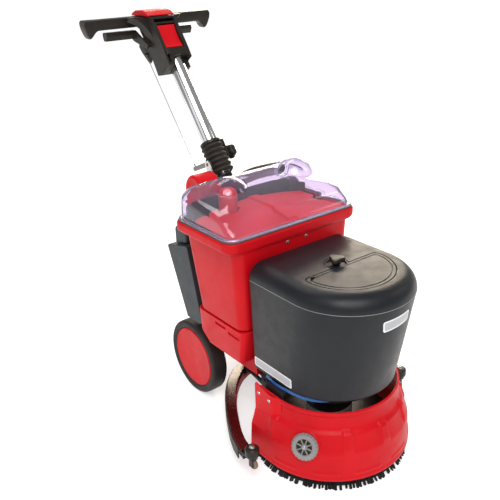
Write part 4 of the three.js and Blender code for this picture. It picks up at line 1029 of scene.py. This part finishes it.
WHEEL_X, WHEEL_Y, WHEEL_RADIUS, TYRE_HALF = 130, 118, 110, 24


def wheel(name, side):
    """Grooved tyre on a flat-faced disc; both profiles are (radius, distance outwards) corners."""
    body = f"wheel_{name}"
    place = (side * WHEEL_X, WHEEL_Y, WHEEL_RADIUS)
    shoulder = [((89, 20), 0), ((94, 23), 2), ((97, TYRE_HALF), 1), ((98.2, 23), 0.6),
                ((99.4, TYRE_HALF), 0.6), ((104.5, 23.9), 2), ((109.3, 19.5), 3.5)]
    inner = [((radius, -out), corner) for (radius, out), corner in shoulder]
    tread = [((WHEEL_RADIUS, 0), 12)]
    tyre = turned(rounded(inner + tread + shoulder[::-1], 4), 96, wrap=True)
    make(f"tyre_{name}_ring", placed(tyre, place, (side, 0, 0)), "tyre_rubber", body, (f"tyre_{name}",), 32)
    profile = rounded([((0.01, 17.5), 0), ((40, 18.6), 20), ((80, 21.4), 3), ((84, 22.2), 1.5),
                       ((87.6, 20.5), 2), ((88.2, -20), 1), ((82, -20), 1), ((82, 3.6), 2), ((22, 4), 2),
                       ((22, -24), 1), ((8.4, -24), 0), ((8.4, 11.5), 0), ((0.01, 11.5), 0)], 4)
    make(f"wheel_disc_{name}_face", placed(turned(profile, 96), place, (side, 0, 0)), "red_plastic", body,
         (f"wheel_disc_{name}",), 30)


wheel("left", -1)
wheel("right", 1)
dressed("rear_housing", "slate_plastic", 5, 30)
dressed("control_box", "slate_plastic", 6, 30)
dressed("charger_unit", "grey_plastic", 3)
dressed("column_tower", "black_metal", 1.5)
dressed("vacuum_housing", "red_plastic", 2.5)
dressed("vacuum_turbine", "grey_plastic", 0.8)

# ---- column, in its own leaning frame

PIVOT, LEAN = Vector((0, 117, 600)), math.radians(36.8)
UNDER = Vector((0, math.cos(LEAN), -math.sin(LEAN)))
TUBE_AXIS = Vector((0, math.sin(LEAN), math.cos(LEAN)))
TUBE_RADIUS, TUBE_WALL, TUBE_FROM, TUBE_TO = 22.5, 2, 31, 400
KNOB_Z, KNOB_FACE, STUD_RADIUS = 89, 39.4, 4


def on_column(shape):
    """Places a shape drawn in the column's frame: Z up the tube, Y towards its underside."""
    points, faces = shape
    return [tuple(PIVOT + Vector((x, 0, 0)) + UNDER * y + TUBE_AXIS * z) for x, y, z in points], faces


def column_tube():
    """Open tube with softened ends."""
    bore = TUBE_RADIUS - TUBE_WALL
    return turned(rounded([((bore, TUBE_FROM), 0), ((TUBE_RADIUS, TUBE_FROM), 0.6),
                           ((TUBE_RADIUS, TUBE_TO), 0.6), ((bore, TUBE_TO), 0)], 3), 72, wrap=True)


def gaiter():
    """Ribbed rubber sleeve round the tube, a little narrower towards its top."""
    folds, low, high, bore = 6, 32, 118, 23.2
    count = 18 * folds
    profile = [(bore, low)]
    for k in range(count + 1):
        t = k / count
        crest = 0.5 - 0.5 * math.cos(TAU * t * folds)
        radius = 33 - 2 * t - 5.5 * (1 - crest ** 0.65)
        profile.append((radius, low + (high - low) * t))
    profile.append((bore, high))
    return turned(profile, 56, wrap=True)


make("column_tube_chrome", on_column(column_tube()), "chrome", "column", ("column_tube",), 40)
make("bellows_gaiter", on_column(gaiter()), "rubber_black", "column", ("bellows",), 50)
dressed("column_foot", "black_metal", 1, 34)
dressed("clamp_collar", "black_plastic", 1.2, 34)
dressed("pivot_pin_bracket", "steel", 0.7, 34)
dressed("head_shell", "black_plastic", 3.0, 34)
dressed("top_cover", "red_plastic", 2.5, 34)
dressed("release_crank", "steel", 0.6, look="steel_dull")
dressed("release_wire", "steel", 0, look="steel_dull")
dressed("red_rocker", "red_plastic", 2)
dressed("height_latch", "black_plastic", 1)
dressed("hand_lever", "black_plastic", 1.6, 34)


def to_right(shape, out):
    """Turns a shape's Z to the column's right and puts its origin out mm that way, at the clamp's height."""
    return on_column(placed(shape, (out, 0, KNOB_Z), (1, 0, 0), (0, 1, 0)))


grip = knob_shape([(6, 0), (12, 1), (14, 3), (19, 5), (21, 8), (21, 17), (18, 21), (6, 22)], 5, 0.09, 0)
stud = turned([(0.01, 34.6), (STUD_RADIUS, 34.6), (STUD_RADIUS, 44), (0.01, 44)], 24)
make("clamp_knob_grip", to_right(grip, KNOB_FACE), "black_plastic", "clamp_knob", ("clamp_knob",), 40)
make("clamp_stud", to_right(stud, 0), "steel", "clamp_knob")

BAR_FRONT, BAR_TOP = 461, 1023
# Right half of the handle bar from its middle, as (x, underside, rear).
BAR_KEYS = [(0, 993, 491), (60, 993, 491), (120, 993, 491), (158, 992.6, 491.4), (170, 989, 493.5),
            (180, 978, 499), (185, 973.5, 501), (190, 973, 501), (196, 981, 499.5), (201, 993, 497.5),
            (205, 1003, 496)]


def squared(value):
    """Pushes a sine or cosine outwards, so that a circle becomes a rounded square."""
    return math.copysign(math.sqrt(abs(value)), value)


def handle_bar():
    """Level bar that thickens downwards and rearwards at its two ends."""
    half = spline(BAR_KEYS, 40)
    rings = []
    for x, low, rear in [(-x, low, rear) for x, low, rear in reversed(half)] + half[1:]:
        shrink = 2.5 * smoothstep(202, 205, abs(x))
        deep, tall = (rear - BAR_FRONT) / 2 - shrink, (BAR_TOP - low) / 2 - shrink
        ring = []
        for j in range(40):
            t = TAU * j / 40
            ring.append((x, (BAR_FRONT + rear) / 2 + deep * squared(math.cos(t)),
                         (low + BAR_TOP) / 2 + tall * squared(math.sin(t))))
        rings.append(ring)
    return loft(rings)


make("handle_bar_body", handle_bar(), "black_plastic", "column", ("handle_bar",), 40)

# ---- squeegee and suction hose

for node, slot, width in (("carrier", "black_metal", 1), ("plate", "steel", 0.6),
                          ("blade_rear", "rubber_black", 0.5), ("blade_front", "rubber_red", 0.5),
                          ("nozzle", "black_plastic", 0.6), ("arms", "black_metal", 0.8),
                          ("lower_link", "black_metal", 0.8), ("mount", "black_metal", 1)):
    dressed("squeegee_" + node, slot, width, 34, "steel_dull" if node == "plate" else None)

ROLLER_X, ROLLER_Y, ROLLER_TOP = 259, -301, 107
CASTER_X, CASTER_Y, CASTER_Z = 256, -300, 56


def squeegee_end(name, side):
    """Bumper roller with its bolt, and the small caster under it."""
    profile = rounded([((4.4, 83), 0), ((15.5, 83), 1), ((17.5, 86), 1.5), ((17.5, 103), 2),
                       ((13.5, ROLLER_TOP), 2), ((4.4, ROLLER_TOP), 0)], 4)
    roller = placed(turned(profile, 56, wrap=True), (side * ROLLER_X, ROLLER_Y, 0))
    make(f"roller_{name}_body", roller, "black_plastic", f"roller_{name}", (f"bumper_roller_{name}",), 35)
    screw(f"roller_{name}_bolt", (side * ROLLER_X, ROLLER_Y, ROLLER_TOP + 1), (0, 0, 1), 7.5, "squeegee")
    profile = rounded([((3.4, -5), 0), ((12, -5), 1), ((14, -3), 1.5), ((14, 3), 1.5), ((12, 5), 1),
                       ((3.4, 5), 0)], 4)
    caster = placed(turned(profile, 40, wrap=True), (side * CASTER_X, CASTER_Y, CASTER_Z), (1, 0, 0))
    make(f"caster_{name}_body", caster, "brown_nylon", f"caster_{name}", (f"caster_wheel_{name}",), 35)


squeegee_end("left", -1)
squeegee_end("right", 1)

# Middle line of the hose, from the squeegee's nozzle up the tower to the lid's socket.
HOSE_ROUTE = [(0, 60, 118), (0, 60, 150), (0, 60, 178), (0, 72, 212), (0, 92, 255), (0, 108, 310),
              (0, 108.6, 380), (0, 108.6, 470), (2, 111, 512), (14, 134, 545), (54, 166, 566),
              (88, 158, 590), (112, 136, 604), (134, 110, 613), (147, 90, 619), (150, 79.5, 622),
              (150, 73.5, 622)]
HOSE_RADIUS, HOSE_RIB, RIB_PITCH = 16.6, 1.3, 6.5


def hose_radius(length):
    """Radius of the ribbed hose at a length along it."""
    return HOSE_RADIUS + HOSE_RIB * (0.5 + 0.5 * math.cos(TAU * length / RIB_PITCH))


hose = tube(along(HOSE_ROUTE, 1.3), hose_radius, 24)
make("suction_hose_ribbed", hose, "rubber_black", "root", ("suction_hose",), 60)

# ---- floor and lights


def lamp(name, place, aim, size, power, colour):
    """Rectangular soft lamp that points at aim."""
    data = bpy.data.lights.new(name, "AREA")
    data.shape = "RECTANGLE"
    data.size, data.size_y = size
    data.energy = power
    data.color = colour
    light = bpy.data.objects.new(name, data)
    light.location = place
    light.rotation_euler = (Vector(aim) - Vector(place)).to_track_quat("-Z", "Y").to_euler()
    SCENE.collection.objects.link(light)
    return light


# Places and sizes in metres.
lamp("key", (-1.3, -1.9, 2.9), (0, -0.1, 0.4), (1.0, 1.0), 20, (1, 0.97, 0.94))
lamp("fill_left", (-2.9, 0.2, 1.6), (0, 0, 0.4), (1.2, 2.2), 5, (0.88, 0.93, 1))
lamp("right", (2.4, -1.4, 2.2), (0, -0.2, 0.4), (0.8, 1.0), 7, (1, 0.94, 0.86))
lamp("top_back", (0.2, 1.4, 2.9), (0, 0, 0.5), (2.0, 0.8), 18, (1, 0.98, 0.95))
warm = lamp("warm_rear", (2.25, 2.0, 1.62), (0, -0.3, 0.5), (2.4, 1.0), 72, (1, 0.86, 0.68))
warm.visible_camera = False
warm.visible_transmission = False


def sky_light():
    """Broad soft daylight from above, a little from the front left."""
    sky = bpy.data.objects.new("sky", bpy.data.lights.new("sky", "SUN"))
    sky.data.energy = 1.85
    sky.data.angle = math.radians(40)
    sky.rotation_euler = Vector((0.45, 0.62, -1)).to_track_quat("-Z", "Y").to_euler()
    SCENE.collection.objects.link(sky)
    world = bpy.data.worlds.new("studio")
    world.use_nodes = True
    background = world.node_tree.nodes["Background"]
    background.inputs["Color"].default_value = (0.93, 0.94, 0.96, 1)
    background.inputs["Strength"].default_value = 0.34
    SCENE.world = world


def pale_floor():
    """Wide white floor that glows a little, so that it stays white up to the top of the picture."""
    n = Nodes("floor")
    surface = n.add("ShaderNodeBsdfPrincipled", {"Base Color": (0.70, 0.70, 0.70, 1), "Roughness": 0.75,
                                                 "Emission Color": (1, 1, 1, 1), "Emission Strength": 0.50})
    n.link(surface.outputs["BSDF"], n.output.inputs["Surface"])
    reach = 40
    mesh = bpy.data.meshes.new("floor")
    mesh.from_pydata([(-reach, -reach, 0), (reach, -reach, 0), (reach, reach, 0), (-reach, reach, 0)], [],
                     [(0, 1, 2, 3)])
    mesh.materials.append(n.material)
    floor = bpy.data.objects.new("floor", mesh)
    SCENE.collection.objects.link(floor)


sky_light()
pale_floor()
SCENE.view_settings.view_transform = "Standard"
